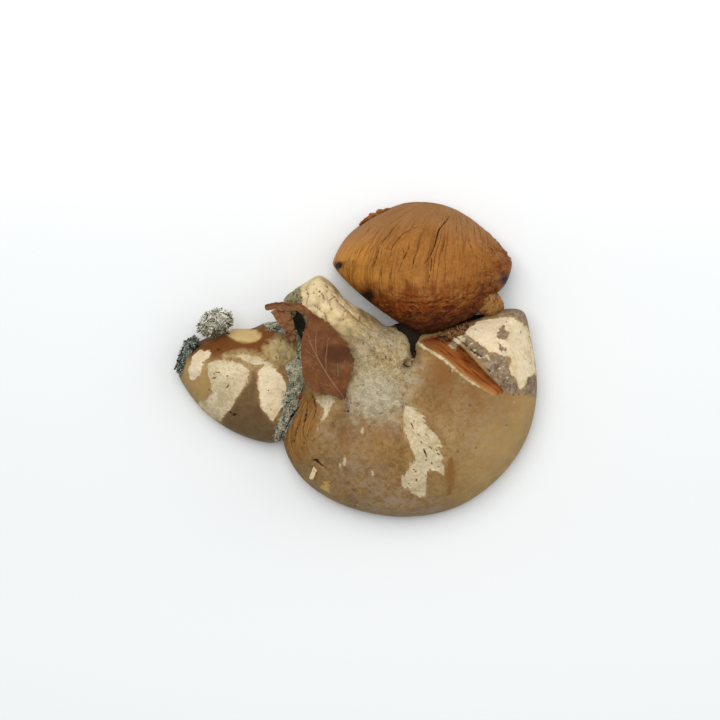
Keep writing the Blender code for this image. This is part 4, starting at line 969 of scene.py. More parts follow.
def large_cap_relief(places, marks, fine, jag, upper):
    """Millimetres that the skin stands out along its normal."""
    peel = smooth_step(-0.05, 0.25, marks["peel"])
    relief = 0.10 * fine - 0.30 * peel + 0.16 * smooth_step(-0.8, -0.05, marks["peel"]) * (1 - peel)
    relief += 0.05 * peel * jag
    across, along = marks["strand"][:, 0], marks["strand"][:, 1]
    strands = grain(np.column_stack([across, along * 0.10]) / 1000, 0.00075, 3, 5)
    flesh = smooth_step(-0.1, 0.5, marks["flesh"])
    relief = relief * (1 - flesh) + 0.50 * strands * flesh
    fissure = smooth_step(-2.0, 1.5, marks["fissure"])
    ribs = grain(np.column_stack([across, along * 0.045]) / 1000, 0.0024, 3, 12)
    relief += fissure * (0.40 * ribs - 0.4 * thin(ribs, 0.09) * smooth_step(-0.1, 0.5, fine))
    marks["groove"] = fissure * thin(ribs, 0.10) * smooth_step(-0.1, 0.5, fine)
    wood = smooth_step(-2, 2, marks["wood"])
    relief += wood * (1.3 * np.minimum(np.abs(marks.pop("fold")), 0.5) - 0.3
                      + 0.8 * grain(places, 0.0075, 2, 7))
    relief += wood * 0.16 * grain(places, 0.0018, 3, 8)
    relief -= 0.6 * marks["crease"] * wood - 0.5 * marks["tip"] * grain(places, 0.0036, 2, 17)
    fuzz = smooth_step(-3, 2, marks["fuzz"])
    relief += fuzz * (0.20 * jag + 0.40 * grain(places, 0.0040, 2, 10))
    crust = smooth_step(-0.3, 0.6, marks["crust"])
    relief += crust * (0.40 * grain(places, 0.0014, 3, 11) + 0.25)
    mould = smooth_step(-1.0, 1.0, marks["mould"])
    relief += mould * 0.40 * grain(places, 0.0016, 3, 16)
    relief -= 1.4 * smooth_step(0.1, 0.9, marks["dark"]) + 0.5 * smooth_step(0.2, 0.9, marks["shade"])
    relief += 0.22 * grain(places, 0.011, 3, 13) + 0.06 * jag + 0.35 * marks["yellow"] * (0.4 + jag)
    return np.where(upper, relief, 0.06 * fine)


def make_large_cap(steps, top_rings, under_rings):
    mesh, _, u, upper, turn = cap_mesh("large_cap", LARGE_CAP_EDGE, LARGE_CAP_TOP, LARGE_CAP_STEM,
                                        steps, top_rings, under_rings, large_cap_shape)
    places = vertex_places(mesh)
    marks, fine, jag = large_cap_marks(places, upper)
    relief = large_cap_relief(places, marks, fine, jag, upper) * smooth_step(1.0, 0.97, u)
    push_out(mesh, places, relief)
    marks["valley"] = valley_of(upper, turn, LARGE_CAP_GILLS, u)
    keep_marks(mesh, marks)
    piece_of("large_cap", mesh, ["mushroom skin", "gills"], "fungus_flesh", "fungus")


# The small cap

def small_cap_shape(xy, u, upper, turn):
    rim = 0.0100 + 0.09 * xy[:, 0] + 0.05 * xy[:, 1]
    z = np.empty(len(xy))
    z[upper] = rim[upper] + 0.0185 * swell(SMALL_CAP_EDGE, xy[upper], 0.022)
    under = rim * smooth_step(0.0, 0.9, u) + 0.0040 * smooth_step(0.35, 0.0, u) + 0.0100 * vault(u)
    under += 0.0009 * gill_wave(turn, SMALL_CAP_GILLS, u) - CAP_ROLL * lip(u)
    return np.where(upper, z, under)


def make_small_cap(steps, top_rings, under_rings):
    mesh, xy, u, upper, turn = cap_mesh("small_cap", SMALL_CAP_EDGE, SMALL_CAP_TOP, SMALL_CAP_STEM,
                                        steps, top_rings, under_rings, small_cap_shape)
    n = len(xy)
    x, y = xy.T * 1000
    places = vertex_places(mesh)
    fine = grain(places, 0.0030, 4, 21)
    jag = grain(places, 0.0010, 3, 25)
    patches = [patch(p, xy) for p in PEEL_SMALL]
    patches[4] = patches[4] - 1.3
    peel = np.max(patches, axis=0) + 0.8 * fine + 0.35 * jag
    mound = patch(MOUND, xy)
    peel_depth = smooth_step(-0.05, 0.30, peel)
    wander = wander_of(fine, jag)
    dark = strokes(DARK_SMALL, xy + wander)
    lump = patch(PEEL_SMALL[4], xy)
    lumpy = smooth_step(-1.5, 1.5, np.maximum(mound, lump))
    creases = thin(grain(places, 0.0042, 2, 26), 0.12) * lumpy * smooth_step(-0.3, 0.3, jag)
    top_side = smooth_step(-5.0, 2.5, y + 0.12 * (x + 50))
    marks = {
        **dict.fromkeys(("flesh", "crust", "fissure", "fuzz"), np.full(n, -12.0)),
        **dict.fromkeys(("groove", "tip", "felt", "grit"), np.zeros(n)),
        "peel": np.where(upper, peel, -5), "wood": np.maximum(mound, lump) + 0.5 + fine,
        "dark": dark * smooth_step(-0.9, 0.2, jag), "warm": 0.3 * top_side, "rust": top_side,
        "umber": np.clip(smooth_step(-1.5, 2.0, patch(GREY_SMALL, xy) + fine) + 0.1, 0, 1.2)
             * (1 - top_side),
        "bloom": 0.12 * (1 - top_side), "fan": fan_of(xy, SMALL_CAP_TOP),
        "bright": smooth_step(-57.0, -66.0, x) * (1 - top_side),
        "yellow": 0.8 * smooth_step(-1.0, 0.5, patches[3]),
        "shade": strokes(HOLLOW_SHADE_LINES, xy + 1.5 * wander), "mould": patch(MOULD_ZONE, xy) + fine,
        "crease": np.maximum(creases, 0.6 * spots([(-35.5, 9.0, 3.0, 1.0)], xy)
                             * smooth_step(-0.6, 0.4, fine)),
        "pale": smooth_step(-1.0, 1.0, np.maximum(patches[0], patches[2])),
        "edge": smooth_step(0.85, 1.0, u), "strand": np.zeros((n, 3)),
    }
    relief = 0.12 * fine - 0.32 * peel_depth + 0.35 * grain(places, 0.009, 3,
                                                            22) - 1.0 * smooth_step(0.1, 0.9, dark)
    relief += 0.16 * smooth_step(-0.8, -0.05, peel) * (1 - peel_depth) + 0.05 * peel_depth * jag
    relief += smooth_step(-1.0, 1.5, mound) * (0.8 + 1.0 * grain(places, 0.0046, 3, 23)) - 0.6 * creases
    relief += smooth_step(-0.5, 1.5, lump) * (0.35 + 0.6 * grain(places, 0.0032, 3, 24))
    relief += smooth_step(-1.0, 1.0, marks["mould"]) * 0.40 * grain(places, 0.0016, 3, 16)
    relief = np.where(upper, relief, 0.05 * fine) * smooth_step(1.0, 0.96, u)
    push_out(mesh, places, relief)
    marks["valley"] = valley_of(upper, turn, SMALL_CAP_GILLS, u)
    keep_marks(mesh, marks)
    piece_of("small_cap", mesh, ["mushroom skin", "gills"], "fungus_flesh", "fungus")


# The shrivelled cap

def dried_cap_shape(xy, u, upper, turn):
    rim = np.maximum(0.0231 - 0.36 * xy[:, 1], 0.0040)
    full = swell(DRIED_CAP_EDGE, xy, 0.027)
    hollow = 0.0210 * np.clip((full - 0.45) / 0.55, 0, 1) ** 0.8
    under = rim + hollow - 0.7 * CAP_ROLL * lip(u) + 0.0009 * gill_wave(turn, DRIED_CAP_GILLS, u)
    return np.where(upper, rim + 0.0310 * full, under)


def meridians(xy):
    """Position across and along the shrivelled cap, as on a globe with its poles at the far and near rims."""
    x, y = xy.T * 1000
    middle = 38.9 + 0.11 * (y - 38.5)
    width = np.sqrt(np.clip(1 - ((y - 37.5) / 31) ** 2, 0.05, 1))
    return (x - middle) / width, y


def make_dried_cap(steps, top_rings, under_rings):
    mesh, xy, u, upper, turn = cap_mesh("dried_cap", DRIED_CAP_EDGE, DRIED_CAP_TOP, DRIED_CAP_STEM,
                                        steps, top_rings, under_rings, dried_cap_shape)
    n = len(xy)
    x, y = xy.T * 1000
    across, along = meridians(xy)
    places = vertex_places(mesh)
    bend = grain(places, 0.009, 2, 31)
    jag = grain(places, 0.0015, 3, 37)
    across = across + 0.6 * bend + 0.12 * jag
    fan = np.column_stack([across, along, np.zeros(n)])
    near = smooth_step(35.0, 23.0, y + 0.16 * np.abs(x - 30) + 2.5 * bend)
    near = np.clip(near + 0.75 * smooth_step(44, 60, x + 0.35 * (46 - y)) * smooth_step(58, 48, y), 0, 1)
    far = smooth_step(50, 62, y + 0.2 * np.abs(x - 30))
    folds = grain(np.column_stack([across, along * 0.055]) / 1000, 0.0042, 2, 32)
    small_folds = grain(np.column_stack([across, along * 0.10]) / 1000, 0.0015, 3, 33)
    broken = smooth_step(-0.25, 0.25, grain(xy, 0.0055, 2, 38))
    cracks = np.maximum(thin(folds, 0.08), 0.6 * thin(small_folds, 0.12)
                        * broken) * (1 - near) * (1 - 0.5 * far)
    swirl = np.column_stack([(x + 1.5 * bend) * 0.42,
                             (y - 0.25 * np.abs(x - 28)) * 1.7 + 0.8 * jag + 2.0 * bend]) / 1000
    crimp_a, crimp_b = grain(swirl, 0.0025, 2, 34), grain(swirl * 1.45 + 0.1, 0.0025, 2, 35)
    net = np.maximum(thin(crimp_a, 0.15), 0.7 * thin(crimp_b, 0.15))
    dark = strokes(DRIED_CRACKS, xy + 0.0004 * np.column_stack([bend, jag]) + 0.0002
                   * np.column_stack([jag, bend]))
    dark = dark * smooth_step(-0.9, 0.1, jag)
    groove = np.clip(cracks + net * near, 0, 1)
    relief = 0.20 * small_folds * (1 - 0.6 * near) + 0.34 * folds * (1 - 0.5 * far) - 0.40 * cracks
    relief += near * (0.60 * np.abs(crimp_a) + 0.35 * np.abs(crimp_b) - 0.42 * net)
    relief += 0.55 * grain(places, 0.013, 3, 36) + 0.05 * jag - 1.0 * smooth_step(0.1, 0.9, dark)
    rim_gap = (1 - u) * 30
    dents = spots([(3.6, 25.6, 2.9, 1.7), (63.6, 33.6, 2.4, 1.2), (-8.2, 39.6, 1.7, 1.3)], xy)
    relief -= 1.0 * dents * smooth_step(9.0, 1.5, rim_gap)
    relief = np.where(upper, relief, 0.06 * folds) * smooth_step(1.0, 0.97, u)
    push_out(mesh, places, relief)
    low = smooth_step(45.0, 20.0, y + 0.14 * np.abs(x - 24) + 2.5 * bend)
    low = np.clip(low + 0.6 * smooth_step(50, 63, x + 0.25 * (44 - y)) * smooth_step(60, 50, y), 0, 1)
    # Painted shade: near black where the shrivelled cap hangs low over the base, and in the dents by its rim.
    burnt = smooth_step(23.0, 11.0, y - 0.10 * np.abs(x - 26) + 2.0 * bend) * smooth_step(-3.0, 8.0, x)
    keep_marks(mesh, {
        "fan": fan, "groove": groove, "dark": dark, "low": low, "near": near,
        "valley": valley_of(upper, turn, DRIED_CAP_GILLS, u),
        "burnt": np.clip(0.85 * burnt + dents * smooth_step(11.0, 2.0, rim_gap), 0, 1),
        "golden": smooth_step(16.0, -4.0, x + 2 * bend) * smooth_step(26, 36, y) + 0.5
                      * smooth_step(26, 32, y)
        * smooth_step(40, 34, y) * smooth_step(30, 10, x),
        "crown": far, "grey_rim": smooth_step(2.4, 0.3, rim_gap) * smooth_step(44, 56, y + 0.2 * x),
        "crest": near * np.clip(np.abs(crimp_a) * 1.6, 0, 1),
    })
    piece_of("dried_cap", mesh, ["shrivelled skin", "gills"], "fungus_flesh", "fungus")


def make_rim_flap():
    """The ragged strip of skin that stands off the shrivelled cap's far rim."""
    rim = smooth_loop(mm(14.5, 64.6, 10.0, 62.8, 5.5, 60.4, 1.0, 57.6), closed=False, pieces=10)
    line = even_points(rim, 61, closed=False)
    bm = bmesh.new()
    bmesh.ops.create_grid(bm, x_segments=60, y_segments=14, size=1.0)
    for vertex in bm.verts:
        i, out = int(round((vertex.co.x + 1) * 30)), (vertex.co.y + 1) / 2
        share = i / 60
        reach = 0.0024 * math.sin(math.pi * share) ** 0.6
        reach *= 0.85 + 0.5 * noise.noise(Vector((i * 0.13, 2.0,
                                                  5.0))) + 0.35 * noise.noise(Vector((i * 0.45, 7.0, 5.0)))
        way = Vector((-0.42, 0.91))
        lift = (0.0070 + 0.0014 * math.sin(out * 2.6)
                + 0.0009 * noise.noise(Vector((i * 0.22, out * 2, 1.0))))
        vertex.co = (line[i][0] + way.x * reach * (out - 0.35),
                     line[i][1] + way.y * reach * (out - 0.35), lift)
    mesh = mesh_from(bm, "rim_flap")
    if vertex_normals(mesh)[:, 2].mean() < 0:
        mesh.flip_normals()
    n = len(mesh.vertices)
    places = vertex_places(mesh)
    bare = dict.fromkeys(("groove", "dark", "burnt", "golden", "crown", "grey_rim", "near", "crest"),
                         np.zeros(n))
    keep_marks(mesh, {**bare, "fan": places * 1000, "low": np.full(n, 0.5)})
    piece = piece_of("rim_flap", mesh, ["shrivelled skin"], "fungus_flesh")
    wall = piece.modifiers.new("wall", "SOLIDIFY")
    wall.thickness = FLAP_SKIN_THICKNESS
    wall.offset = 0.0


# Stems

def tube(name, places, radii, sides, line):
    """A closed tube through places with a radius each, its rings square to the line."""
    bm = bmesh.new()
    before, last = None, len(places) - 1
    for i, (place, radius) in enumerate(zip(places, radii)):
        along = Vector(line[min(i + 1, last)]) - Vector(line[max(i - 1, 0)])
        turn = along.to_track_quat("Z", "Y").to_matrix().to_4x4()
        ring = bmesh.ops.create_circle(bm, segments=sides, radius=radius, cap_ends=i in (0, last),
                                       matrix=Matrix.Translation(place) @ turn)["verts"]
        if before:
            for a, b, c, d in zip(before, before[1:] + before[:1], ring[1:] + ring[:1], ring):
                bm.faces.new((a, b, c, d))
        before = ring
    bmesh.ops.recalc_face_normals(bm, faces=bm.faces)
    return mesh_from(bm, name)


def make_stem(name, run, finish, lit=0.0215, sides=48, rings=60):
    """A ribbed stem swept through points that each have a radius, in deep shade where y is below lit."""
    points = even_points(smooth_loop(np.array(run), closed=False, pieces=8), rings, closed=False)
    mesh = tube(name, points[:, :3], points[:, 3], sides, points[:, :3])
    places = vertex_places(mesh)
    push_out(mesh, places, 0.35 * grain(places * np.array([1.0, 1.0, 0.5]), 0.0025, 3, 41))
    keep_marks(mesh, {"shade": 0.4 * smooth_step(lit, lit + 0.0040, places[:, 1])})
    piece_of(name, mesh, [finish], "fungus_flesh", "fungus")


# The leaf

def surface_of(*pieces):
    graph = bpy.context.evaluated_depsgraph_get()
    return [BVHTree.FromObject(piece, graph) for piece in pieces]


def height_at(surfaces, x, y, around=0.0):
    highest = FLOOR
    offsets = [(0.0, 0.0)]
    if around:
        offsets += [(around * math.cos(a), around * math.sin(a)) for a in np.arange(6) * math.pi / 3]
    for dx, dy in offsets:
        for surface in surfaces:
            hit = surface.ray_cast(Vector((x + dx, y + dy, 0.2)), Vector((0, 0, -1)))[0]
            if hit:
                highest = max(highest, hit.z)
    return highest


def blade(name, west, middle, east, heights, along, across, surfaces):
    """A leaf blade between its two edges, over its midrib, as one fine sheet."""
    rows = [even_points(smooth_loop(np.column_stack([line, heights]), closed=False, pieces=8),
                        along + 1, closed=False)
            for line in (west, middle, east)]
    bm = bmesh.new()
    bmesh.ops.create_grid(bm, x_segments=along, y_segments=across, size=1.0)
    for vertex in bm.verts:
        i, side = int(round((vertex.co.x + 1) / 2 * along)), vertex.co.y
        edge = rows[0] if side < 0 else rows[2]
        place = rows[1][i] * (1 - abs(side)) + edge[i] * abs(side)
        ragged = 0.0007 * abs(side) ** 4 * noise.noise(Vector((i * 0.28, side * 3, 4.0)))
        place = place + (edge[i] - rows[1][i]) * ragged / 0.006
        z = place[2] + 0.0012 * abs(side) ** 1.5 + 0.0004 * math.sin(i / along * 24 * 1.7) * abs(side)
        z = max(z, height_at(surfaces, place[0], place[1], 0.0012) + CLEAR_OF_SKIN)
        vertex.co = (place[0], place[1], z)
    bmesh.ops.recalc_face_normals(bm, faces=bm.faces)
    bmesh.ops.smooth_vert(bm, verts=bm.verts, factor=0.5, use_axis_z=True)
    mesh = mesh_from(bm, name)
    if vertex_normals(mesh)[:, 2].mean() < 0:
        mesh.flip_normals()
    return mesh


def make_leaf():
    surfaces = surface_of(bpy.data.objects["large_cap"], bpy.data.objects["small_cap"])
    blades = [("leaf_blade", LEAF_WEST, LEAF_MIDRIB, LEAF_EAST, LEAF_HEIGHTS, 150, 70, surfaces),
              ("leaf_flap", FLAP_LEFT, FLAP_MIDDLE, FLAP_RIGHT, FLAP_HEIGHTS, 50, 24, surfaces)]
    meshes = [blade(*sizes) for sizes in blades]
    for folded, mesh in enumerate(meshes):
        places = vertex_places(mesh)
        xy = places[:, :2]
        vein = strokes(LEAF_VEINS, xy)
        shade = smooth_step(-1.6, 1.2, patch(LEAF_SHADOW, xy))
        curl = smooth_step(17.5, 20.5, xy[:, 1] * 1000)
        rough = grain(places, 0.0016, 3, 53)
        tear = smooth_step(-0.1, 0.3, patch(LEAF_TEAR, xy) + 0.35 * rough)
        relief = 0.14 * grain(xy, 0.004, 3, 51) + 0.22 * vein - 0.9 * tear - 0.7 * shade
        relief += (0.9 * curl + 0.7 * folded) * grain(xy, 0.0030, 3, 52)
        push_out(mesh, places, relief)
        shade = np.clip(shade * 0.8 + spots(LEAF_SHADE_SPOTS, xy) + curl * 0.15 * (1 + rough), 0, 1)
        keep_marks(mesh, {"vein": vein, "shade": shade, "tear": tear,
                          "pale": np.clip(0.7 * curl + 0.6 * folded, 0, 0.9)})
        piece = piece_of(mesh.name, mesh, ["dead leaf"], "leaf_brown", "leaf")
        wall = piece.modifiers.new("blade", "SOLIDIFY")
        wall.thickness = BLADE_THICKNESS
        wall.offset = -1.0
    make_stalk(surfaces)


def make_stalk(surfaces):
    """The leaf's thin stalk, which lies on the skin below it and is black at its tip."""
    rings, radius = 24, 0.00055
    line = even_points(smooth_loop(STALK_LINE, closed=False, pieces=8), rings, closed=False)
    heights = [height_at(surfaces, x, y) + radius * 0.7 for x, y in line]
    level = np.column_stack([line, np.zeros(rings)])
    mesh = tube("leaf_stalk", np.column_stack([line, heights]), radius
                * (1.1 - 0.4 * np.arange(rings) / (rings - 1)), 8, level)
    n = len(mesh.vertices)
    keep_marks(mesh, {"shade": np.where(np.arange(n) > n * 0.86, 0.0, 0.35)})
    piece_of("leaf_stalk", mesh, ["stalk grey"], "leaf_brown", "leaf")


# Moss, mould and crumbs

def copies(name, create, count, **shape):
    """One mesh that holds a number of copies of a small shape, and how many vertices each has."""
    bm = bmesh.new()
    create(bm, **shape)
    size, made = len(bm.verts), 1
    while made < count:
        more = min(made, count - made)
        bm.verts.ensure_lookup_table()
        chosen = bm.verts[:more * size]
        faces = {face for vertex in chosen for face in vertex.link_faces}
        bmesh.ops.duplicate(bm, geom=[*chosen, *faces])
        made += more
    mesh = mesh_from(bm, name)
    return mesh, size


def turns(rng, count):
    """Random rotations, one 3 x 3 array each."""
    ways = rng.normal(size=(count, 3, 3))
    turned, _ = np.linalg.qr(ways)
    turned[np.linalg.det(turned) < 0] *= -1
    return turned


def cushion_shade(places):
    """How much paler the moss cushion's far side is than its near side."""
    return 0.34 * np.tanh((places[:, 1] - 0.0152 - 0.5 * (places[:, 0] + 0.0605)) / 0.0026)


def grains(name, places, sizes, seed, finish, slot, *nodes, long=1.0, shade=None, lean=None):
    """Many small irregular grains fused in one mesh, each with its own shade."""
    rng = np.random.default_rng(seed)
    count = len(places)
    mesh, size = copies(name, bmesh.ops.create_icosphere, count, subdivisions=1, radius=1.0)
    unit = vertex_places(mesh)[:size]
    scale = rng.uniform(*sizes, (count, 1)) * rng.uniform(0.6, 1.0, (count, 3)) * np.array([1, 1, long * 1.1])
    spread = np.einsum("nij,nvj->nvi", turns(rng, count), unit * scale[:, None, :])
    set_places(mesh, (spread + places[:, None, :]).reshape(-1, 3))
    tone = shade
    if tone is None:
        tone = np.clip(0.42 + 0.42 * grain(places, 0.0024, 3, seed) + rng.normal(size=count) * 0.12
                       + (lean(places) if lean else 0), 0, 1)
    keep_marks(mesh, {"shade": np.repeat(tone, size)})
    piece_of(name, mesh, [finish], slot, *nodes)


def shoots(name, places, ways, lengths, radii, seed, finish, slot, *nodes, lean=None):
    """Many thin shoots fused in one mesh, each from its place along its own way."""
    rng = np.random.default_rng(seed)
    count = len(places)
    mesh, size = copies(name, bmesh.ops.create_cone, count, segments=5, radius1=1.0, radius2=0.35,
                        depth=1.0, cap_ends=True)
    unit = vertex_places(mesh)[:size]
    long = rng.uniform(*lengths, (count, 1))
    thick = rng.uniform(*radii, (count, 1))
    ahead = ways / np.linalg.norm(ways, axis=1, keepdims=True)
    side = np.cross(ahead, rng.normal(size=(count, 3)))
    side /= np.linalg.norm(side, axis=1, keepdims=True)
    up = np.cross(ahead, side)
    spread = (unit[None, :, 0:1] * (side * thick)[:, None, :] + unit[None, :, 1:2]
              * (up * thick)[:, None, :]
              + (unit[None, :, 2:3] + 0.5) * (ahead * long)[:, None, :])
    set_places(mesh, (spread + places[:, None, :]).reshape(-1, 3))
    tone = np.clip(0.5 + 0.4 * grain(places, 0.0030, 2, seed) + rng.normal(size=count) * 0.15
                   + (lean(places) if lean else 0), 0, 1)
    keep_marks(mesh, {"shade": np.repeat(tone, size)})
    piece_of(name, mesh, [finish], slot, *nodes)


def tuft_places(line, radius, count, rng, low=0.3):
    """Places in an uneven cushion along a line, and the ways out of it."""
    points = even_points(smooth_loop(line, closed=False), 60, closed=False)
    centres = points[rng.integers(len(points), size=count)]
    ways = rng.normal(size=(count, 3))
    ways /= np.linalg.norm(ways, axis=1, keepdims=True)
    lump = 1 + 0.38 * grain(centres + ways * 0.003, 0.0030, 2, 71)
    return centres + ways * (radius * lump * rng.uniform(low, 1.0, count) ** 0.5)[:, None], ways


def scattered(outline, count, seed, surfaces, rise=(0.0, 0.0004), keep=None):
    """Places spread over an outline, set on the surface below."""
    rng = np.random.default_rng(seed)
    loop = smooth_loop(outline)
    low, high = loop.min(0), loop.max(0)
    places = []
    while len(places) < count:
        batch = rng.uniform(low, high, (count * 2, 2))
        batch = batch[inside(loop, batch)]
        if keep is not None:
            batch = batch[rng.uniform(size=len(batch)) < keep(batch)]
        for x, y in batch[:count - len(places) + 50]:
            z = height_at(surfaces, x, y)
            if z > 0.006:
                places.append((x, y, z + rng.uniform(*rise)))
    return np.array(places[:count])


def make_growths():
    surfaces = surface_of(*(bpy.data.objects[name] for name in ("large_cap", "small_cap", "small_stem")))
    rng = np.random.default_rng(61)
    places, ways = tuft_places(TUFT_LINE, 0.0044, 7200, rng)
    ways[:, 2] += 0.25
    shoots("moss_tuft_shoots", places, ways + rng.normal(size=ways.shape) * 0.8, (0.0005, 0.0014),
           (0.00006, 0.00013), 61, "pale moss", "moss_pale", "moss_tuft", lean=cushion_shade)
    places, _ = tuft_places(TUFT_LINE, 0.0043, 2400, rng, 0.1)
    grains("moss_tuft_grains", places, (0.00016, 0.00045), 67, "pale moss", "moss_pale", "moss_tuft",
           lean=cushion_shade)
    places, _ = tuft_places(CRUST_LINE, 0.0025, 2400, rng)
    grains("moss_crust_grains", places, (0.00018, 0.00050), 62, "dark moss", "moss_dark", "moss_crust")
    places, ways = tuft_places(CRUST_LINE, 0.0025, 1500, rng)
    shoots("moss_crust_shoots", places, ways, (0.0003, 0.0011), (0.00007, 0.00013), 68, "dark moss",
           "moss_dark", "moss_crust")

    def clumps(xy):
        # Fewer grains where the painted shade of the hollows lies.
        open_share = 1 - np.clip(1.2 * strokes(HOLLOW_SHADE_LINES, xy), 0, 1)
        return (smooth_step(-0.35, 0.45, grain(xy, 0.0030, 3, 72)) * 0.93 + 0.07) * open_share

    places = scattered(MOULD_ZONE, 8200, 63, surfaces, (-0.0002, 0.0008), clumps)
    grains("crevice_mould", places, (0.00014, 0.00042), 63, "mould", "moss_dark")
    places = scattered(FUZZ_ZONE, 6200, 64, surfaces, (-0.0001, 0.00025), clumps)
    grains("base_fuzz", places, (0.00008, 0.00020), 64, "grey fuzz", "moss_pale")
    places = scattered(MOSSY_END, 1800, 65, surfaces, (-0.0002, 0.0006),
                       lambda xy: smooth_step(-0.2, 1.6, patch(MOSSY_END, xy)
                                              + 1.2 * grain(xy, 0.0030, 3, 73)))
    grains("mossy_end", places, (0.00014, 0.00036), 65, "olive moss", "moss_dark")


def make_crumbs():
    surfaces = surface_of(bpy.data.objects["large_cap"], bpy.data.objects["small_cap"])
    bm = bmesh.new()
    x, y = SPLINTER
    z = height_at(surfaces, x, y)
    matrix = (Matrix.Translation((x, y, z + 0.0003)) @ Matrix.Rotation(math.radians(-22), 4, "Z")
              @ Matrix.Rotation(math.radians(20), 4, "X") @ Matrix.Diagonal((*SPLINTER_HALF, 1)))
    bmesh.ops.create_cube(bm, size=2.0, matrix=matrix)
    bmesh.ops.subdivide_edges(bm, edges=bm.edges, cuts=9, use_grid_fill=True)
    for vertex in bm.verts:
        taper = 1 - 0.55 * smooth_step(0.3, 1.0, (vertex.co.y - y) / SPLINTER_HALF[1])
        vertex.co.x = x + (vertex.co.x - x) * taper
        vertex.co += Vector([noise.noise(vertex.co * 1100
                                         + Vector((k * 9.0, 0, 0))) for k in range(3)]) * 0.0004
    mesh = mesh_from(bm, "splinter")
    keep_marks(mesh, {"shade": np.full(len(mesh.vertices), 0.5)})
    piece_of("splinter", mesh, ["wood splinter"], "fungus_flesh")
    debris = scattered(DEBRIS_ZONE, 260, 69, surfaces, (0.0, 0.0012))
    grains("split_debris", debris, (0.0002, 0.0008), 69, "torn crumbs", "fungus_flesh", long=2.2)
    x, y = RED_CRUMB
    crumb = np.array([(x + 0.0006 * math.cos(a), y + 0.0008 * math.sin(a),
                       height_at(surfaces, x, y) + 0.0006)
                      for a in range(7)])
    grains("red_crumb", crumb, (0.0007, 0.0011), 66, "red crumb", "fungus_flesh", shade=np.full(7, 0.4))


# The studio

def make_stage():
    scene = bpy.context.scene
    bm = bmesh.new()
    bmesh.ops.create_grid(bm, x_segments=2, y_segments=2, size=1.6)
    mesh = mesh_from(bm, "floor")
    floor = bpy.data.objects.new("floor", mesh)
    scene.collection.objects.link(floor)
    paper = bpy.data.materials.new("studio paper")
    paper.use_nodes = True
    shader = paper.node_tree.nodes["Principled BSDF"]
    shader.inputs["Roughness"].default_value = 0.9
    shader.inputs["Specular IOR Level"].default_value = 0.1
    web = Web(paper.node_tree)
    # Painted shade: the paper is lighter towards the top of the picture, darker across its middle and a
    # little lighter again at the bottom.
    level = web.add("ShaderNodeSeparateXYZ", 1, {0: web.place()})
    tint = web.mix(web.step(level, 0.14, 0.03), (0.925, 0.925, 0.915), (0.835, 0.850, 0.846))
    tint = web.mix(web.step(level, -0.06, -0.13), tint, (0.862, 0.878, 0.872))
    paper.node_tree.links.new(tint, shader.inputs["Base Color"])
    mesh.materials.append(paper)

    world = bpy.data.worlds.new("studio")
    world.use_nodes = True
    world.node_tree.nodes["Background"].inputs["Color"].default_value = (0.96, 0.98, 1.0, 1.0)
    world.node_tree.nodes["Background"].inputs["Strength"].default_value = 0.45
    scene.world = world
    scene.view_settings.view_transform = "Standard"
    for name, place, size, power in (("overhead", (-0.15, 0.35, 1.0), 0.9, 8.6),
                                     ("side", (0.7, 0.3, 0.6), 0.7, 2.2)):
        light = bpy.data.lights.new(name, "AREA")
        light.shape = "SQUARE"
        light.size = size
        light.energy = power
        lamp = bpy.data.objects.new(name, light)
        lamp.location = place
        lamp.rotation_euler = (-Vector(place)).to_track_quat("-Z", "Y").to_euler()
        scene.collection.objects.link(lamp)

    lens = bpy.data.cameras.new("camera")
    lens.lens = LENS
    lens.sensor_width = SENSOR
    view = bpy.data.objects.new("camera", lens)
    view.location = (0.0013, -0.0003, 0.012 + PICTURE_WIDTH * LENS / SENSOR)
    scene.collection.objects.link(view)
    scene.camera = view


# The add-on

def colour_property(name, description, default):
    return bpy.props.FloatVectorProperty(name=name, description=description, default=default,
                                         subtype="COLOR", min=0, max=1)


def steps_property(cap, default):
    return bpy.props.IntProperty(name=f"{cap} cap steps",
                                 description=f"Mesh steps round the {cap.lower()} cap",
                                 default=default, min=60, max=520)


class MushroomColours(bpy.types.PropertyGroup):
    skin: colour_property("Skin", "Tan-brown of the caps' dry skin", (0.292, 0.167, 0.056))
    wood: colour_property("Base", "Cream-yellow of the shared base", (0.405, 0.287, 0.118))
    fuzz: colour_property("Fuzz", "Grey bloom over the base", (0.470, 0.375, 0.210))
    peel: colour_property("Peeled flesh", "Cream flesh where the skin is gone", (0.575, 0.465, 0.290))
    flesh: colour_property("Split flesh", "Orange flesh in the split", (0.215, 0.053, 0.010))
    dried: colour_property("Shrivelled skin", "Orange-brown of the shrivelled cap", (0.315, 0.126, 0.025))
    leaf: colour_property("Leaf", "Brown of the dead leaf", (0.142, 0.050, 0.0155))


class MushroomSizes(bpy.types.PropertyGroup):
    large_steps: steps_property("Large", 500)
    small_steps: steps_property("Small", 320)
    dried_steps: steps_property("Shrivelled", 480)


class MUSHROOM_OT_materials(bpy.types.Operator):
    """Build the node groups and the materials"""
    bl_idname = "mushroom.materials"
    bl_label = "Materials"

    def execute(self, context):
        make_groups()
        make_materials()
        return {"FINISHED"}


class MUSHROOM_OT_large_cap(bpy.types.Operator):
    """Build the large cap with the shared base"""
    bl_idname = "mushroom.large_cap"
    bl_label = "Large cap and base"

    def execute(self, context):
        make_large_cap(context.scene.mushroom_sizes.large_steps, *LARGE_CAP_RINGS)
        return {"FINISHED"}


class MUSHROOM_OT_small_cap(bpy.types.Operator):
    """Build the small cap"""
    bl_idname = "mushroom.small_cap"
    bl_label = "Small cap"

    def execute(self, context):
        make_small_cap(context.scene.mushroom_sizes.small_steps, *SMALL_CAP_RINGS)
        return {"FINISHED"}


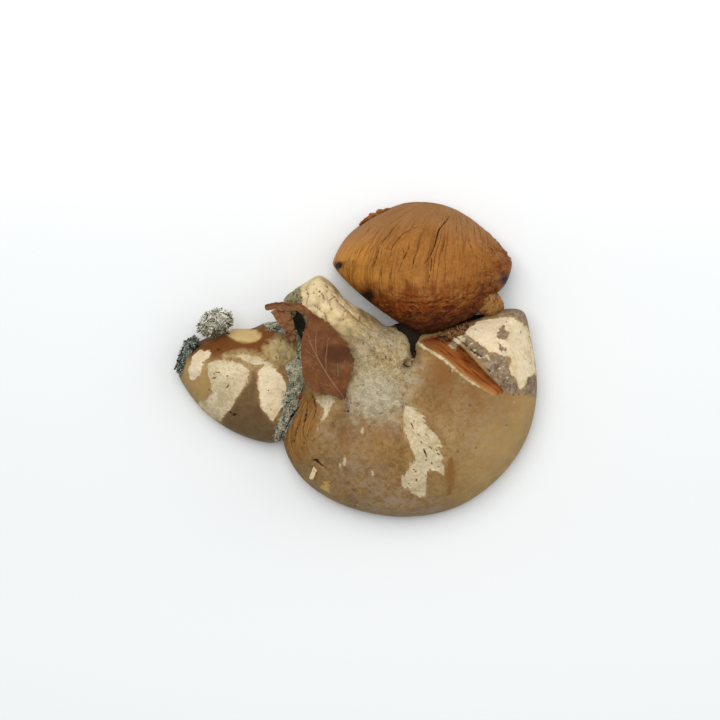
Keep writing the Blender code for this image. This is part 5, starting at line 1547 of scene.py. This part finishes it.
class MUSHROOM_OT_dried_cap(bpy.types.Operator):
    """Build the shrivelled cap and the strip that stands off its rim"""
    bl_idname = "mushroom.dried_cap"
    bl_label = "Shrivelled cap"

    def execute(self, context):
        make_dried_cap(context.scene.mushroom_sizes.dried_steps, *DRIED_CAP_RINGS)
        make_rim_flap()
        return {"FINISHED"}


class MUSHROOM_OT_stems(bpy.types.Operator):
    """Build the stems below the caps"""
    bl_idname = "mushroom.stems"
    bl_label = "Stems"

    def execute(self, context):
        make_stem("dried_stem", [(0.0120, -0.0040, 0.0130, 0.0085), (0.0230, 0.0080, 0.0150, 0.0085),
                                 (0.0330, 0.0200, 0.0190, 0.0088), (0.0370, 0.0300, 0.0230, 0.0090),
                                 (0.0360, 0.0380, 0.0262, 0.0085)], "torn flesh")
        make_stem("small_stem", [(-0.0060, 0.0030, 0.0140, 0.0090), (-0.0190, -0.0040, 0.0130, 0.0088),
                                 (-0.0330, -0.0090, 0.0135, 0.0085)], "mouldy flesh", -1.0)
        make_stem("torn_lobe", [(0.0430, 0.0310, 0.0240, 0.0062), (0.0520, 0.0262, 0.0180, 0.0062),
                                (0.0585, 0.0228, 0.0134, 0.0050), (0.0622, 0.0212, 0.0112, 0.0016)],
                  "ochre flesh", 0.0165)
        return {"FINISHED"}


class MUSHROOM_OT_leaf(bpy.types.Operator):
    """Build the dead leaf and its stalk"""
    bl_idname = "mushroom.leaf"
    bl_label = "Dead leaf"

    def execute(self, context):
        make_leaf()
        return {"FINISHED"}


class MUSHROOM_OT_growths(bpy.types.Operator):
    """Build the moss, the mould and the fuzz"""
    bl_idname = "mushroom.growths"
    bl_label = "Moss and mould"

    def execute(self, context):
        make_growths()
        return {"FINISHED"}


class MUSHROOM_OT_crumbs(bpy.types.Operator):
    """Build the splinter, the crumbs by the split and the red crumb"""
    bl_idname = "mushroom.crumbs"
    bl_label = "Splinter and crumbs"

    def execute(self, context):
        make_crumbs()
        return {"FINISHED"}


class MUSHROOM_OT_stage(bpy.types.Operator):
    """Build the floor, the lights and the camera"""
    bl_idname = "mushroom.stage"
    bl_label = "Studio"

    def execute(self, context):
        make_stage()
        return {"FINISHED"}


OPERATORS = (MUSHROOM_OT_stage, MUSHROOM_OT_materials, MUSHROOM_OT_large_cap, MUSHROOM_OT_small_cap,
             MUSHROOM_OT_dried_cap, MUSHROOM_OT_stems, MUSHROOM_OT_leaf, MUSHROOM_OT_growths,
             MUSHROOM_OT_crumbs)


class MUSHROOM_PT_panel(bpy.types.Panel):
    bl_label = "Dried oyster mushroom"
    bl_space_type = "VIEW_3D"
    bl_region_type = "UI"
    bl_category = "Mushroom"

    def draw(self, context):
        for settings in (context.scene.mushroom_colours, context.scene.mushroom_sizes):
            for key in settings.__annotations__:
                self.layout.prop(settings, key)
        for operator in OPERATORS:
            self.layout.operator(operator.bl_idname)


CLASSES = (MushroomColours, MushroomSizes, *OPERATORS, MUSHROOM_PT_panel)


def register():
    for made in CLASSES:
        bpy.utils.register_class(made)
    bpy.types.Scene.mushroom_colours = bpy.props.PointerProperty(type=MushroomColours)
    bpy.types.Scene.mushroom_sizes = bpy.props.PointerProperty(type=MushroomSizes)


def unregister():
    del bpy.types.Scene.mushroom_sizes
    del bpy.types.Scene.mushroom_colours
    for made in reversed(CLASSES):
        bpy.utils.unregister_class(made)


def main():
    register()
    bpy.ops.mushroom.stage()
    bpy.ops.mushroom.materials()
    bpy.ops.mushroom.large_cap()
    bpy.ops.mushroom.small_cap()
    bpy.ops.mushroom.dried_cap()
    bpy.ops.mushroom.stems()
    bpy.ops.mushroom.leaf()
    bpy.ops.mushroom.growths()
    bpy.ops.mushroom.crumbs()


if __name__ == "__main__":
    main()
